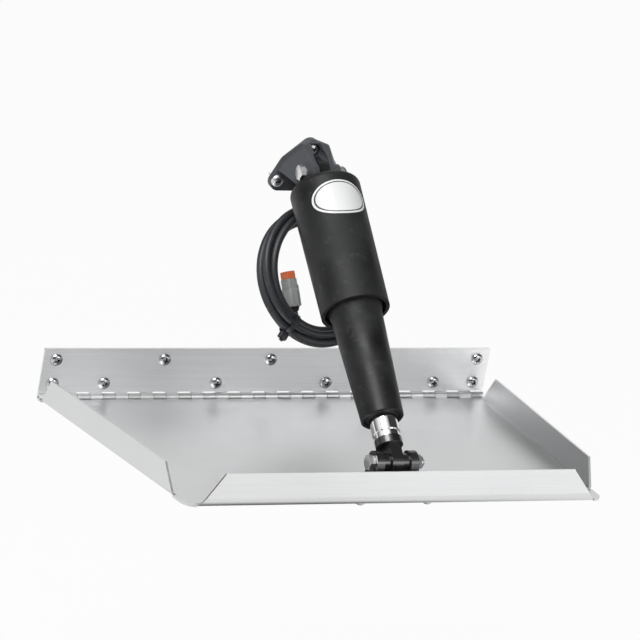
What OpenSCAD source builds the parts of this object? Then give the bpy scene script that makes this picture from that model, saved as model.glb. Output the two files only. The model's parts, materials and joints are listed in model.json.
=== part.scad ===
// Boat trim tab: a hinged stainless blade moved by a tilting electric screw actuator.
// Origin at the middle of the transom plate's back face, +X along the hinge,
// +Y into the boat, +Z up. Sizes in millimetres, angles in degrees.

/* [Plate and blade] */
// Span of the plate and the blade along the hinge
tab_span = 457.2; // [430:0.2:490]
// Chord of the blade, from the hinge axis to the front of its lip
tab_chord = 304.8; // [296:0.2:316]
// Thickness of the stainless sheet
sheet_t = 2; // [1.6:0.1:2.4]
// Height of the plate's top edge above the hinge axis
plate_h = 48; // [46:0.5:58]
// Radius of the plate's top corners
plate_corner_r = 1.5; // [0.5:0.5:4]
// Upward slope of the blade at rest
tab_rest = 6.5; // [5:0.5:8]
// Inward taper of each side of the blade over its chord
side_taper = 23.6; // [16:0.2:30]
// Radius of the blade's flat front corners
corner_r = 14; // [8:1:18]
// Setback of the flat front corners behind the lip's face
corner_back = 3; // [1:0.5:5]

/* [Flanges] */
// Height of the lip above the blade's underside
lip_h = 30; // [24:0.5:36]
// Outer radius of the lip's bend
lip_r = 8; // [5:0.5:9]
// Backward lean of the lip past square
lip_lean = 6; // [1:1:10]
// Distance of the lip's lower ends inside the blade's sides
lip_inset = 9.5; // [7:0.5:16]
// Slant of each end of the lip, from lower to upper edge
lip_slant = 24; // [12:1:30]
// Height of the side flanges above the blade's underside
side_h = 27.5; // [20:0.5:34]
// Outer radius of the side bends
side_r = 5; // [3.5:0.5:7]
// Outward lean of the side flanges
side_lean = 4.5; // [1:0.5:8]
// Start of a side flange's lower edge, from the hinge axis
side_start = 6; // [5:0.5:12]
// Slant of the rear end of a side flange
side_rear_slant = 20.5; // [10:0.5:30]
// Setback of a side flange's lower front end behind the lip's face
side_stop = 30; // [24:1:40]
// Slant of the front end of a side flange
side_front_slant = 18; // [8:1:26]

/* [Hinge] */
// Diameter of the hinge pin
pin_d = 2.5; // [2:0.1:3]
// Running clearance around the hinge pin
pin_clear = 0.05; // [0.03:0.01:0.08]
// Number of knuckles along the hinge
knuckle_count = 36; // [24:2:48]
// Gap between neighbouring knuckles
knuckle_gap = 0.4; // [0.3:0.1:0.8]
// Gap between a sheet's edge and the other leaf's knuckles
leaf_clear = 0.9; // [0.6:0.1:1.4]
// Open seam of a rolled knuckle
seam_w = 0.5; // [0.3:0.1:0.7]

/* [Transom screws] */
// Diameter of a screw's thread behind the plate or bracket
screw_d = 4.8; // [4:0.1:5.2]
// Diameter of a screw's plain neck
screw_neck_d = 5.4; // [5.3:0.1:6]
// Length of the plate screws' thread behind the plate
screw_len = 16; // [12:1:24]
// Length of a screw's point
screw_tip = 4; // [2:0.5:6]
// Diameter of a screw head
screw_head_d = 11; // [9.5:0.5:12]
// Height of a screw head
screw_head_h = 3.6; // [2.6:0.1:4.2]
// Clearance around a screw's neck or a bolt's shank
hole_clear = 0.15; // [0.1:0.05:0.3]
// Height of the upper row of plate screws above the hinge axis
row_hi = 37; // [34:0.5:39]
// Height of the lower row of plate screws above the hinge axis
row_lo = 13.2; // [12:0.2:16]
// Distance of the end screws from the plate's ends
screw_end = 12.6; // [9:0.2:16]
// Pitch of the lower row's inner screws
row_lo_pitch = 113; // [100:1:118]
// Sideways shift of the lower row's inner screws
row_lo_shift = 4.5; // [0:0.5:8]

/* [Upper bracket] */
// Distance of the upper pivot in front of the transom
pivot_out = 33; // [31:0.5:37]
// Height of the upper pivot above the hinge axis
pivot_up = 237.5; // [232:0.5:243]
// Thickness of the bracket's foot
foot_t = 7; // [5:0.5:9]
// Half the distance between the lower bracket screws
foot_screw_x = 29.5; // [28:0.5:31]
// Depth of the lower bracket screws below the pivot
foot_screw_dn = 18.5; // [17:0.5:21]
// Height of the upper bracket screw above the pivot
foot_screw_up = 13; // [11:0.5:15]
// Length of the bracket screws' thread behind the foot
foot_screw_len = 8; // [6:0.5:12]
// Radius of the foot's lower corners
foot_lug_r = 8; // [7:0.5:9]
// Radius of the foot's rounded top
foot_top_r = 9; // [8.4:0.2:10]
// Radius of the foot's bulging sides
foot_side_r = 13.5; // [12:0.5:15]
// Radius of the pocket around the upper screw's head
pocket_r = 6.8; // [6.2:0.2:7.4]
// Radius of the open floors around the lower screws' heads
floor_r = 12; // [11:0.5:13]
// Width across the bosses that carry the pivot bolt
cheek_w = 34; // [32:0.5:36]
// Radius of the bosses that carry the pivot bolt
seat_r = 8.4; // [8:0.2:9.4]
// Width across the cheeks' front edges at the pivot
front_w = 20; // [18:0.5:23]
// Radius of the cheeks around the pivot
cheek_r = 10; // [9.9:0.1:11.5]
// Width across the cheeks' crowns
crown_w = 26; // [24:0.5:29]
// Distance of the crowns' middle in front of the transom
crown_out = 12.5; // [11:0.5:15]
// Height of the crowns' middle above the pivot
crown_up = 11.5; // [10:0.5:13]
// Radius of the crowns
crown_r = 8.5; // [7.5:0.1:9.5]
// Room around the bolt's head and nut in the cheeks' recesses
bolt_room = 1; // [0.6:0.1:2]

/* [Pivots] */
// Diameter of the pivot bolts
bolt_d = 8; // [6:0.5:9]
// Width of the pivot bolts' heads and nuts across corners
bolt_hex_d = 15; // [13:0.5:17]
// Height of a pivot bolt's head
bolt_head_h = 5.5; // [4:0.5:7]
// Height of a pivot nut
bolt_nut_h = 7; // [5:0.5:9]
// Length of a bolt's end past its nut
bolt_end = 2.5; // [1:0.5:5]
// Running clearance of a bolt in its eye
eye_clear = 0.05; // [0.03:0.01:0.08]
// Side clearance of an eye between its cheeks
eye_side = 0.3; // [0.3:0.1:0.6]
// Thickness of the actuator's upper eye
eye_t = 10; // [8:0.5:12]
// Radius of the actuator's upper eye
eye_r = 11; // [10:0.5:12.8]

/* [Lower bracket] */
// Distance of the lower pivot behind the lip's face
low_back = 25.4; // [24:0.2:32]
// Height of the lower pivot above the blade's top
low_rise = 29.8; // [27:0.2:33]
// Thickness of the lower bracket's foot
low_foot_t = 6; // [4:0.5:8]
// Half the distance between the lower bracket's side bolts
low_bolt_x = 33; // [30:0.5:38]
// Distance between the lower bracket's front and rear bolts
low_bolt_pitch = 30; // [26:1:36]
// Radius of the foot around a lower bracket bolt
low_lug_r = 6.2; // [5.4:0.2:7.5]
// Gap between the foot and the start of the lip's bend
low_lip_gap = 0.5; // [0.4:0.1:2]
// Gap between the lower bracket's ears
ear_gap = 26; // [24:0.5:30]
// Thickness of an ear
ear_t = 7.5; // [5:0.5:9]
// Radius of an ear around the pivot
ear_r = 10.5; // [9:0.5:12]
// Half the length of an ear at its root
ear_root = 15; // [12.5:0.5:17]
// Diameter of the lower bracket's bolts
low_bolt_d = 5; // [4:0.5:6]
// Diameter of the lower bracket bolts' heads
low_head_d = 9.5; // [8:0.5:11]
// Height of the lower bracket bolts' heads
low_head_h = 4; // [3:0.5:5]
// Height of the lower bracket bolts' nuts
low_nut_h = 4.5; // [3.5:0.5:6]
// Clearance around the lower pivot bolt in the ram's eye, which takes up the linkage's play
open_clear = 0.95; // [0.9:0.05:1.2]

/* [Actuator] */
// Diameter of the motor housing at its top
housing_d = 65.5; // [63:0.5:68]
// Draft of the housing's radius down to its rim
housing_draft = 1.1; // [0:0.1:1.5]
// Distance of the housing's top from the upper pivot
housing_top = 15; // [14:0.5:18]
// Length of the motor housing
housing_len = 133; // [128:1:140]
// Radius of the housing's top edge
housing_edge_r = 6; // [3:0.5:8]
// Wall of the motor housing
housing_wall = 3.4; // [2.6:0.1:4]
// Depth of solid material under the housing's top
housing_cap = 15; // [12:0.5:17]
// Recess of the lower tube's shoulder inside the housing's rim
shoulder_in = 8; // [5:0.5:12]
// Length of the lower tube's plug inside the housing
plug_len = 16; // [14:0.5:22]
// Length of the lower tube's conical shoulder
shoulder_len = 13; // [8:0.5:18]
// Diameter of the lower tube under its shoulder
tube_top_d = 47; // [45:0.5:50]
// Diameter of the lower tube at its end
tube_end_d = 39; // [38:0.5:42]
// Distance of the lower tube's end from the upper pivot
tube_end = 259; // [256:0.5:262]
// Fitting clearance of pieces inside one another
fit = 0.1; // [0.05:0.05:0.2]

/* [Ram] */
// Diameter of the ram
ram_d = 25.4; // [24:0.2:27]
// Bore of the ram
ram_bore = 16; // [14:0.5:17]
// Gap between the drive nut and the lower tube's web at rest
ram_gap = 11; // [6:0.5:16]
// Distance of the collar's upper face from the lower pivot
collar_top = 22.5; // [21:0.5:24]
// Height of the collar
collar_h = 7; // [5:0.5:8]
// Diameter of the collar
collar_d = 25; // [23:0.5:27]
// Height of the ferrule above the collar
ferrule_h = 6; // [4:0.5:8]
// Diameter of the ferrule
ferrule_d = 23.4; // [21:0.2:25]
// Thickness of the ram's eye
tongue_t = 11; // [9:0.5:13]
// Radius of the ram's eye
tongue_r = 10.8; // [9.5:0.1:11.5]
// Diameter of the lead screw
lead_d = 12; // [10:0.5:13]
// Gap between the lead screw and the ram end's spigot at rest
lead_gap = 15.8; // [8:0.2:24]
// Running clearance of the ram, the lead screw and its journal
run_clear = 0.05; // [0.03:0.01:0.08]

/* [Cable] */
// Diameter of the cable
cable_d = 7.5; // [6:0.5:8]
// Radius of the coil at the middle of its turns
coil_r = 57; // [54:1:60]
// Radius of the bundle of turns
bundle_r = 10.2; // [9.4:0.2:11]
// Distance of the gland below the upper pivot, along the actuator
gland_s = 30; // [28:0.5:34]
// Turn of the gland from the transom side towards the right
gland_turn = 45; // [35:1:55]

/* [Hidden] */
$fn = 64;
e = 0.01;
long = tab_span;
// Hinge and blade
hinge_r = pin_d / 2 + pin_clear + sheet_t;
hinge_bore = pin_d / 2 + pin_clear;
hinge_y = -hinge_r;
hinge_z = -plate_h / 2;
leaf_from = hinge_r + leaf_clear;
knuckle_pitch = tab_span / knuckle_count;
blade_under = -hinge_r;
blade_top = blade_under + sheet_t;
taper = side_taper / tab_chord;
taper_deg = atan(taper);
corner_front = tab_chord - corner_back;
corner_len = corner_front - corner_r;
side_norm = sqrt(1 + taper * taper);
corner_x = tab_span / 2 - taper * corner_len - corner_r * side_norm;
lip_half = tab_span / 2 - side_taper - lip_inset;
side_end = tab_chord - side_stop;
// Plate screws as pairs of X and Z
screw_point_d = 0.8;
row_hi_pitch = (tab_span - 2 * screw_end) / 4;
row_hi_x = [for (i = [-2:2]) i * row_hi_pitch];
row_lo_ends = [for (s = [-1, 1]) s * (tab_span / 2 - screw_end)];
row_lo_inner = [for (i = [-1.5:1:1.5]) row_lo_shift + i * row_lo_pitch];
plate_screw_at = concat(
    [for (x = row_hi_x) [x, hinge_z + row_hi]],
    [for (x = row_lo_ends) [x, hinge_z + row_lo]],
    [for (x = row_lo_inner) [x, hinge_z + row_lo]]
);
// Upper bracket
pivot_z = hinge_z + pivot_up;
slot_w = eye_t + 2 * eye_side;
slot_web = 4;
slot_floor = foot_t + slot_web;
foot_screw_at = [
    [-foot_screw_x, -foot_screw_dn],
    [foot_screw_x, -foot_screw_dn],
    [0, foot_screw_up]
];
foot_inset = 2;
foot_lug_x = foot_screw_x - foot_inset;
foot_lug_dn = foot_screw_dn + foot_inset;
foot_side_x = foot_screw_x / 2;
foot_side_dn = 6.5;
foot_discs = [
    [[-foot_lug_x, -foot_lug_dn], foot_lug_r],
    [[foot_lug_x, -foot_lug_dn], foot_lug_r],
    [[foot_side_x, -foot_side_dn], foot_side_r],
    [foot_screw_at[2], foot_top_r],
    [[-foot_side_x, -foot_side_dn], foot_side_r]
];
// Ledge between the foot's outline and the cheeks
foot_ledge = 0.4;
// Floor of the right lower screw, from beside the screw to the bracket's bottom
floor_end_x = 12;
floor_end_dn = 36;
floor_end_r = 14;
floor_discs = [
    [[foot_screw_x + foot_inset, -foot_lug_dn], floor_r],
    [[floor_end_x, -floor_end_dn], floor_end_r]
];
// Linkage, with the lower pivot in the blade's own directions first
low_f = tab_chord - low_back;
low_n = blade_top + low_rise;
low_y = hinge_y - low_f * cos(tab_rest) + low_n * sin(tab_rest);
low_z = hinge_z + low_f * sin(tab_rest) + low_n * cos(tab_rest);
run_y = -pivot_out - low_y;
run_z = pivot_z - low_z;
act_len = sqrt(run_y * run_y + run_z * run_z);
act_lean = atan2(run_y, run_z);
// Lower bracket
low_front = tab_chord - lip_r - low_lip_gap;
low_bolt_front = low_front - low_lug_r;
low_bolt_at = [
    for (x = [-1, 1], row = [0, 1]) [x * low_bolt_x, -low_bolt_front + row * low_bolt_pitch]
];
ear_out = ear_gap / 2 + ear_t;
spacer_t = ear_gap / 2 - tongue_t / 2 - eye_side;
// Actuator, by distance from the upper pivot
housing_r = housing_d / 2;
cavity_r = housing_r - housing_draft - housing_wall;
rim_s = housing_top + housing_len;
plug_r = cavity_r - fit;
shoulder_s = rim_s - shoulder_in;
plug_s = shoulder_s - plug_len;
tube_s = shoulder_s + shoulder_len;
tube_top_r = tube_top_d / 2;
tube_end_r = tube_end_d / 2;
shoulder_step = 1.6;
shoulder_r = plug_r - shoulder_step;
ring_r = 1.3;
ring_groove = 3;
ring_s = plug_s + plug_len / 2;
bearing_r = 14;
bearing_len = 11;
journal_step = 1;
journal_r = lead_d / 2 - journal_step;
web_t = 4;
web_s = plug_s + bearing_len + web_t;
throat_room = 3;
throat_r = lead_d / 2 + throat_room;
bore_room = 4;
tube_bore_r = ram_d / 2 + bore_room;
bush_t = 3;
bush_r = ram_d / 2 + bush_t;
bush_len = 22;
bush_stop = 1.6;
bush_taper = 6;
scraper_len = 5;
seal_len = 4;
tube_edge = 1;
tube_lead_in = 2;
bush_s = tube_end - tube_lead_in - scraper_len - seal_len - bush_len;
seal_s = bush_s + bush_len;
scraper_s = seal_s + seal_len;
gearbox_len = 32;
gearbox_s = plug_s - gearbox_len;
motor_s = housing_top + housing_cap;
motor_len = gearbox_s - motor_s;
gearbox_room = 0.4;
gearbox_r = cavity_r - gearbox_room;
motor_room = 4;
motor_r = cavity_r - motor_room;
socket_len = 12;
socket_gap = 1;
// Ram, by distance from the upper pivot
ram_r = ram_d / 2;
collar_s = act_len - collar_top;
ferrule_s = collar_s - ferrule_h;
spigot_len = 24;
nut_flange_h = 8;
nut_len = 26;
ram_top = web_s + ram_gap + nut_flange_h;
lead_end = collar_s - spigot_len - lead_gap;
// Gland, by distance from the actuator's axis
boss_r = 10;
boss_h = 2.5;
boss_out = housing_r + boss_h;
gland_hex_h = 4;
gland_nut_h = 10;
gland_thread_r = 6;
gland_hex_d = 19;
gland_nut_d = 16;
gland_face = boss_out + gland_hex_h + gland_nut_h;
// Coil, tie and plug
coil_at = [8, 67, -70];
coil_turn = [112, 0, 12];
tie_angle = -123;
tie_w = 4.8;
tie_t = 1.1;
tie_gap = 0.15;
tie_head = [6, 8, 6];
tie_stub = [8, 3.6, 1.4];
plug_at = [-23.4, -17, -10];
plug_angle = 12;
plug_body_size = [13, 26, 16];
plug_nose_size = [11, 7, 13];
plug_boot_r = 6;
plug_boot_h = 4;
plug_latch = [6, 14, 3];
// Route of the cable from the gland to the coil, in the gland's directions, starting at its face
lead_route = [
    [0, gland_face, -gland_s],
    [0, 59, -30],
    [0, 69, -32],
    [-1, 79, -37],
    [-3, 88, -44],
    [-6, 94, -52],
    [-8, 98, -61]
];
// Route of the cable's end from the coil to the plug, in the coil's directions
plug_dir = [-sin(plug_angle), cos(plug_angle), 0];
plug_back = plug_at - (plug_body_size[1] / 2 + plug_boot_h) * plug_dir;
tail_route = [
    [23, -52.5, -2],
    [13.5, -57, -3],
    [4.5, -57, -4.5],
    [-4, -54, -6.5],
    [-11, -49, -8.5],
    [-16.2, -43, -9.6],
    [-19, -37.6, -10],
    plug_back
];
black_plastic = [0.13, 0.135, 0.14];
stainless = [0.78, 0.79, 0.8];
bright_steel = [0.86, 0.87, 0.88];
dull_steel = [0.55, 0.56, 0.57];
brass = [0.72, 0.58, 0.3];
black_rubber = [0.06, 0.06, 0.06];

// Placing helpers

// Blade directions: hinge axis at the origin, forward is -Y, up is +Z
module on_blade() {
    translate([0, hinge_y, hinge_z]) rotate([-tab_rest, 0, 0]) children();
}

// Upper bracket directions: pivot height at Z 0, transom at Y 0
module on_bracket() {
    translate([0, 0, pivot_z]) children();
}

// Actuator directions: upper pivot at the origin, ram end towards -Z, transom side +Y
module on_actuator() {
    translate([0, -pivot_out, pivot_z]) rotate([-act_lean, 0, 0]) children();
}

// Place on the actuator's axis at a distance from the upper pivot
module at_s(s) {
    on_actuator() translate([0, 0, -s]) children();
}

// Gland directions: the gland points along +Y
module on_gland() {
    on_actuator() rotate([0, 0, -gland_turn]) children();
}

// Outward axis of the gland as +Z, from the actuator's axis
module along_gland() {
    on_gland() translate([0, 0, -gland_s]) rotate([-90, 0, 0]) children();
}

// Coil directions: the coil lies in the XY plane
module on_coil() {
    on_actuator() translate(coil_at) rotate(coil_turn) children();
}

// Plug directions: the nose points along +Y
module on_plug() {
    on_coil() translate(plug_at) rotate([0, 0, plug_angle]) children();
}

// Drawing of Y and Z, extruded along X
module along_x(from, len) {
    translate([from, 0, 0]) rotate([90, 0, 90]) linear_extrude(len) children();
}

// Cylinder along X, centred
module across(r, len) {
    rotate([0, 90, 0]) cylinder(r = r, h = len, center = true);
}

// Shapes that repeat

// Outer tangent of two discs that follow each other counter-clockwise
function belt_side(a, b) =
    let (
        run = b[0] - a[0],
        turn = atan2(run[1], run[0]) - acos((a[1] - b[1]) / norm(run)),
        out = [cos(turn), sin(turn)]
    )
    [a[0] + a[1] * out, b[0] + b[1] * out];

// Outline of a belt around discs, each given as its centre and radius, counter-clockwise
module belt(discs) {
    count = len(discs);
    polygon([for (i = [0:count - 1]) each belt_side(discs[i], discs[(i + 1) % count])]);
    for (d = discs) translate(d[0]) circle(r = d[1]);
}

// Rectangle with round corners, centred
module round_rect(size, r) {
    square([size[0] - 2 * r, size[1]], center = true);
    square([size[0], size[1] - 2 * r], center = true);
    for (x = [-1, 1], y = [-1, 1]) {
        translate([x * (size[0] / 2 - r), y * (size[1] / 2 - r)]) circle(r = r);
    }
}

// Domed pan head standing on Z 0
module pan_head(d, h) {
    dome = (d * d / 4 + h * h) / (2 * h);
    intersection() {
        translate([0, 0, h - dome]) sphere(r = dome);
        cylinder(d = d, h = h);
    }
}

// Section of a sheet turned up through a bend, its underside on Y 0 and its outer face on X 0
module turned_up(r, lean, rise) {
    run = (rise - r) / cos(lean);
    translate([-r, r]) difference() {
        union() {
            circle(r = r);
            rotate(lean) square([r, run]);
        }
        circle(r = r - sheet_t);
        rotate(lean) translate([-r, 0]) square([2 * r - sheet_t, 2 * run]);
        translate([-2 * r, -2 * r]) square([2 * r, 4 * r]);
    }
}

// Section of a rolled knuckle around the hinge axis, its leaf rising at the back
module rolled_knuckle() {
    difference() {
        union() {
            circle(r = hinge_r);
            translate([hinge_r - sheet_t, 0]) square([sheet_t, leaf_from + e]);
        }
        circle(r = hinge_bore);
        translate([pin_d / 2 - seam_w, 0]) square([seam_w, 2 * hinge_r]);
    }
}

// Every other knuckle of the hinge, starting from the given one
module knuckles(first) {
    for (i = [first:2:knuckle_count - 1]) {
        along_x(-tab_span / 2 + i * knuckle_pitch + knuckle_gap / 2, knuckle_pitch - knuckle_gap) {
            children();
        }
    }
}

// Wood screw with its head's underside on Z 0, neck and thread going down
module transom_screw(grip, thread) {
    pan_head(screw_head_d, screw_head_h);
    translate([0, 0, -grip]) cylinder(d = screw_neck_d, h = grip);
    translate([0, 0, -grip - thread]) cylinder(d = screw_d, h = thread);
    translate([0, 0, -grip - thread - screw_tip]) cylinder(d1 = screw_point_d, d2 = screw_d, h = screw_tip);
}

// Hex bolt along X with its head on the left, gripping the given width
module pivot_bolt(grip) {
    reach = grip + bolt_nut_h + bolt_end;
    translate([-grip / 2, 0, 0]) rotate([0, 90, 0]) cylinder(d = bolt_d, h = reach);
    translate([-grip / 2 - bolt_head_h, 0, 0]) rotate([0, 90, 0]) {
        cylinder(d = bolt_hex_d, h = bolt_head_h, $fn = 6);
    }
}

// Lock nut on the right of the given grip, with a round collar
module pivot_nut(grip) {
    hex_h = bolt_nut_h * 0.7;
    translate([grip / 2, 0, 0]) rotate([0, 90, 0]) {
        difference() {
            union() {
                cylinder(d = bolt_hex_d, h = hex_h, $fn = 6);
                cylinder(d = bolt_hex_d * 0.8, h = bolt_nut_h);
            }
            translate([0, 0, -e]) cylinder(d = bolt_d + 2 * eye_clear, h = bolt_nut_h + 2 * e);
        }
    }
}

// Ring on the actuator's axis, between two distances from the upper pivot
module axis_ring(outer, inner, from, len) {
    at_s(from + len) difference() {
        cylinder(r = outer, h = len);
        translate([0, 0, -e]) cylinder(r = inner, h = len + 2 * e);
    }
}

// Direction of a route at one of its points
function route_dir(route, i) =
    let (step = route[min(i + 1, len(route) - 1)] - route[max(i - 1, 0)]) step / norm(step);

// Tube swept along the points of a route
module swept_tube(route, r) {
    sides = 10;
    last = len(route) - 1;
    up = [0.1, 0.2, 1];
    points = [
        for (i = [0:last])
            let (
                t = route_dir(route, i),
                u = cross(t, up) / norm(cross(t, up)),
                v = cross(t, u)
            )
            for (k = [0:sides - 1])
                route[i] + r * (cos(360 * k / sides) * u + sin(360 * k / sides) * v)
    ];
    walls = [
        for (i = [0:last - 1], k = [0:sides - 1])
            let (
                a = i * sides + k,
                b = i * sides + (k + 1) % sides
            )
            each [[a, a + sides, b + sides], [a, b + sides, b]]
    ];
    start = [for (k = [0:sides - 1]) k];
    stop = [for (k = [sides - 1:-1:0]) last * sides + k];
    polyhedron(points, concat([start], walls, [stop]));
}

// Transom plate and its hinge

module transom_plate() {
    color(stainless) {
        difference() {
            translate([-tab_span / 2, -sheet_t, hinge_z + leaf_from]) {
                cube([tab_span, sheet_t, plate_h - leaf_from]);
            }
            for (s = [-1, 1]) {
                translate([s * tab_span / 2, 0, -hinge_z]) rotate([90, 0, 0]) {
                    plate_corner(s);
                }
            }
            for (p = plate_screw_at) {
                translate([p[0], e, p[1]]) rotate([90, 0, 0]) {
                    cylinder(d = screw_neck_d + 2 * hole_clear, h = sheet_t + 2 * e);
                }
            }
        }
        translate([0, hinge_y, hinge_z]) knuckles(0) rolled_knuckle();
    }
}

// Waste outside a rounded top corner of the plate
module plate_corner(s) {
    translate([0, 0, -e]) linear_extrude(sheet_t + 2 * e) difference() {
        square(2 * plate_corner_r, center = true);
        translate([-s * plate_corner_r, -plate_corner_r]) circle(r = plate_corner_r);
    }
}

module hinge_pin() {
    color(dull_steel) translate([0, hinge_y, hinge_z]) across(pin_d / 2, tab_span);
}

module plate_screws() {
    color(bright_steel) for (p = plate_screw_at) {
        translate([p[0], -sheet_t, p[1]]) rotate([90, 0, 0]) transom_screw(sheet_t, screw_len);
    }
}

// Upper bracket

// Disc of the foot's thickness, standing off the transom
module foot_disc(at, r) {
    translate([at[0], 0, at[1]]) rotate([90, 0, 0]) cylinder(r = r, h = foot_t, $fn = 32);
}

// Round bar across the bracket, at a distance from the transom and a height above the pivot
module cheek_bar(out, up, r, w) {
    translate([0, -out, up]) rotate([0, 90, 0]) cylinder(r = r, h = w, center = true, $fn = 32);
}

module upper_bracket() {
    color(black_plastic) on_bracket() difference() {
        union() {
            rotate([90, 0, 0]) linear_extrude(foot_t) belt(foot_discs);
            hull() {
                for (d = foot_discs) foot_disc(d[0], d[1] - foot_ledge);
                cheek_bar(pivot_out, 0, cheek_r, front_w);
                cheek_bar(crown_out, crown_up, crown_r, crown_w);
            }
            translate([0, -pivot_out, 0]) across(seat_r, cheek_w);
        }
        translate([-slot_w / 2, -long - slot_floor, -long / 2]) cube([slot_w, long, long]);
        for (p = foot_screw_at) translate([p[0], e, p[1]]) rotate([90, 0, 0]) {
            cylinder(d = screw_neck_d + 2 * hole_clear, h = foot_t + 2 * e);
        }
        translate([0, -foot_t, foot_screw_up]) rotate([90, 0, 0]) cylinder(r = pocket_r, h = long);
        for (s = [0, 1]) mirror([s, 0, 0]) translate([0, -foot_t, 0]) rotate([90, 0, 0]) {
            linear_extrude(long) belt(floor_discs);
        }
        translate([0, -pivot_out, 0]) across(bolt_d / 2 + eye_clear, 2 * cheek_w);
        for (s = [-1, 1]) translate([s * cheek_w, -pivot_out, 0]) {
            across(bolt_hex_d / 2 + bolt_room, cheek_w);
        }
    }
}

module upper_bracket_screws() {
    color(bright_steel) on_bracket() for (p = foot_screw_at) {
        translate([p[0], -foot_t, p[1]]) rotate([90, 0, 0]) transom_screw(foot_t, foot_screw_len);
    }
}

module upper_pivot_bolt() {
    color(bright_steel) on_actuator() pivot_bolt(cheek_w);
}

module upper_pivot_nut() {
    color(bright_steel) on_actuator() pivot_nut(cheek_w);
}

// Tab blade

// Waste outside a rounded front corner of the flat blade, on the right
module blade_corner() {
    middle = [corner_x, -corner_len];
    side = middle + corner_r * [1, -taper] / side_norm;
    difference() {
        polygon([
            middle,
            [corner_x, -corner_front],
            [corner_x, -corner_front - 1],
            [tab_span / 2, -corner_front - 1],
            [tab_span / 2, side[1]],
            side
        ]);
        translate(middle) circle(r = corner_r);
    }
}

// Right side line of the blade as the Y axis, outward +X
module on_side() {
    translate([tab_span / 2, 0, 0]) rotate([0, 0, -taper_deg]) children();
}

module flat_blade() {
    half = tab_span / 2;
    front_half = half - taper * corner_front;
    back_half = half - taper * leaf_from;
    difference() {
        polygon([
            [-back_half, -leaf_from],
            [-front_half, -corner_front],
            [front_half, -corner_front],
            [back_half, -leaf_from]
        ]);
        translate([-lip_half, -tab_chord]) square([2 * lip_half, lip_r]);
        for (s = [0, 1]) mirror([s, 0]) {
            blade_corner();
            on_side() translate([-side_r, -side_end]) square([2 * side_r, side_end - side_start]);
        }
    }
}

// Turned-up lip along the trailing edge, its ends cut on a slant
module lip() {
    intersection() {
        translate([0, -tab_chord, blade_under]) along_x(-lip_half, 2 * lip_half) {
            mirror([1, 0]) turned_up(lip_r, lip_lean, lip_h);
        }
        translate([0, 0, blade_under]) rotate([90, 0, 0]) linear_extrude(2 * tab_chord) polygon([
            [-lip_half, 0],
            [lip_half, 0],
            [lip_half - lip_slant, lip_h],
            [lip_half - lip_slant, 2 * lip_h],
            [lip_slant - lip_half, 2 * lip_h],
            [lip_slant - lip_half, lip_h]
        ]);
    }
}

// Turned-up flange of the right side, its ends cut on a slant
module side_flange() {
    on_side() intersection() {
        translate([0, -side_start, blade_under]) rotate([90, 0, 0]) {
            linear_extrude(side_end - side_start) turned_up(side_r, -side_lean, side_h);
        }
        translate([0, 0, blade_under]) along_x(-side_h, 2 * side_h) polygon([
            [-side_start, 0],
            [-side_start - side_rear_slant, side_h],
            [-side_start - side_rear_slant, 2 * side_h],
            [-side_end + side_front_slant, 2 * side_h],
            [-side_end + side_front_slant, side_h],
            [-side_end, 0]
        ]);
    }
}

module tab_blade() {
    color(stainless) on_blade() {
        difference() {
            translate([0, 0, blade_under]) linear_extrude(sheet_t) flat_blade();
            for (p = low_bolt_at) translate([p[0], p[1], blade_under - e]) {
                cylinder(d = low_bolt_d + 2 * hole_clear, h = sheet_t + 2 * e);
            }
        }
        lip();
        for (s = [0, 1]) mirror([s, 0, 0]) side_flange();
        knuckles(1) mirror([0, 1]) rotate(90) rolled_knuckle();
    }
}

// Lower bracket

// Blade directions with the lower pivot at the origin
module on_low_pivot() {
    on_blade() translate([0, -low_f, low_n]) children();
}

module lower_bracket() {
    foot_mid = -low_bolt_front + low_bolt_pitch / 2;
    foot_size = [2 * (low_bolt_x + low_lug_r), low_bolt_pitch + 2 * low_lug_r];
    ear_at_foot = low_rise - low_foot_t / 2;
    color(black_plastic) on_blade() difference() {
        union() {
            translate([0, foot_mid, blade_top]) linear_extrude(low_foot_t) {
                round_rect(foot_size, low_lug_r);
            }
            for (s = [-1, 1]) translate([s * (ear_gap + ear_t) / 2, -low_f, low_n]) {
                along_x(-ear_t / 2, ear_t) belt([
                    [[0, 0], ear_r],
                    [[-ear_root + low_foot_t / 2, -ear_at_foot], low_foot_t / 2],
                    [[ear_root - low_foot_t / 2, -ear_at_foot], low_foot_t / 2]
                ]);
            }
        }
        for (p = low_bolt_at) translate([p[0], p[1], blade_top - e]) {
            cylinder(d = low_bolt_d + 2 * hole_clear, h = low_foot_t + 2 * e);
        }
        translate([0, -low_f, low_n]) across(bolt_d / 2 + eye_clear, 3 * ear_out);
    }
}

module lower_bracket_bolts() {
    grip = sheet_t + low_foot_t + low_nut_h + 1.5;
    color(bright_steel) on_blade() for (p = low_bolt_at) translate([p[0], p[1], blade_under]) {
        cylinder(d = low_bolt_d, h = grip);
        mirror([0, 0, 1]) pan_head(low_head_d, low_head_h);
    }
}

module lower_bracket_nuts() {
    color(bright_steel) on_blade() for (p = low_bolt_at) {
        translate([p[0], p[1], blade_top + low_foot_t]) difference() {
            cylinder(d = low_head_d, h = low_nut_h, $fn = 6);
            translate([0, 0, -e]) cylinder(d = low_bolt_d + 2 * eye_clear, h = low_nut_h + 2 * e);
        }
    }
}

module lower_pivot_bolt() {
    color(bright_steel) on_low_pivot() pivot_bolt(2 * ear_out);
}

module lower_pivot_nut() {
    color(bright_steel) on_low_pivot() pivot_nut(2 * ear_out);
}

module pivot_spacers() {
    color(black_rubber) on_low_pivot() for (s = [-1, 1]) {
        translate([s * (ear_gap - spacer_t) / 2, 0, 0]) difference() {
            across(ear_r - 2.5, spacer_t);
            across(bolt_d / 2 + hole_clear, 2 * spacer_t);
        }
    }
}

// Actuator housing and drive

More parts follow.
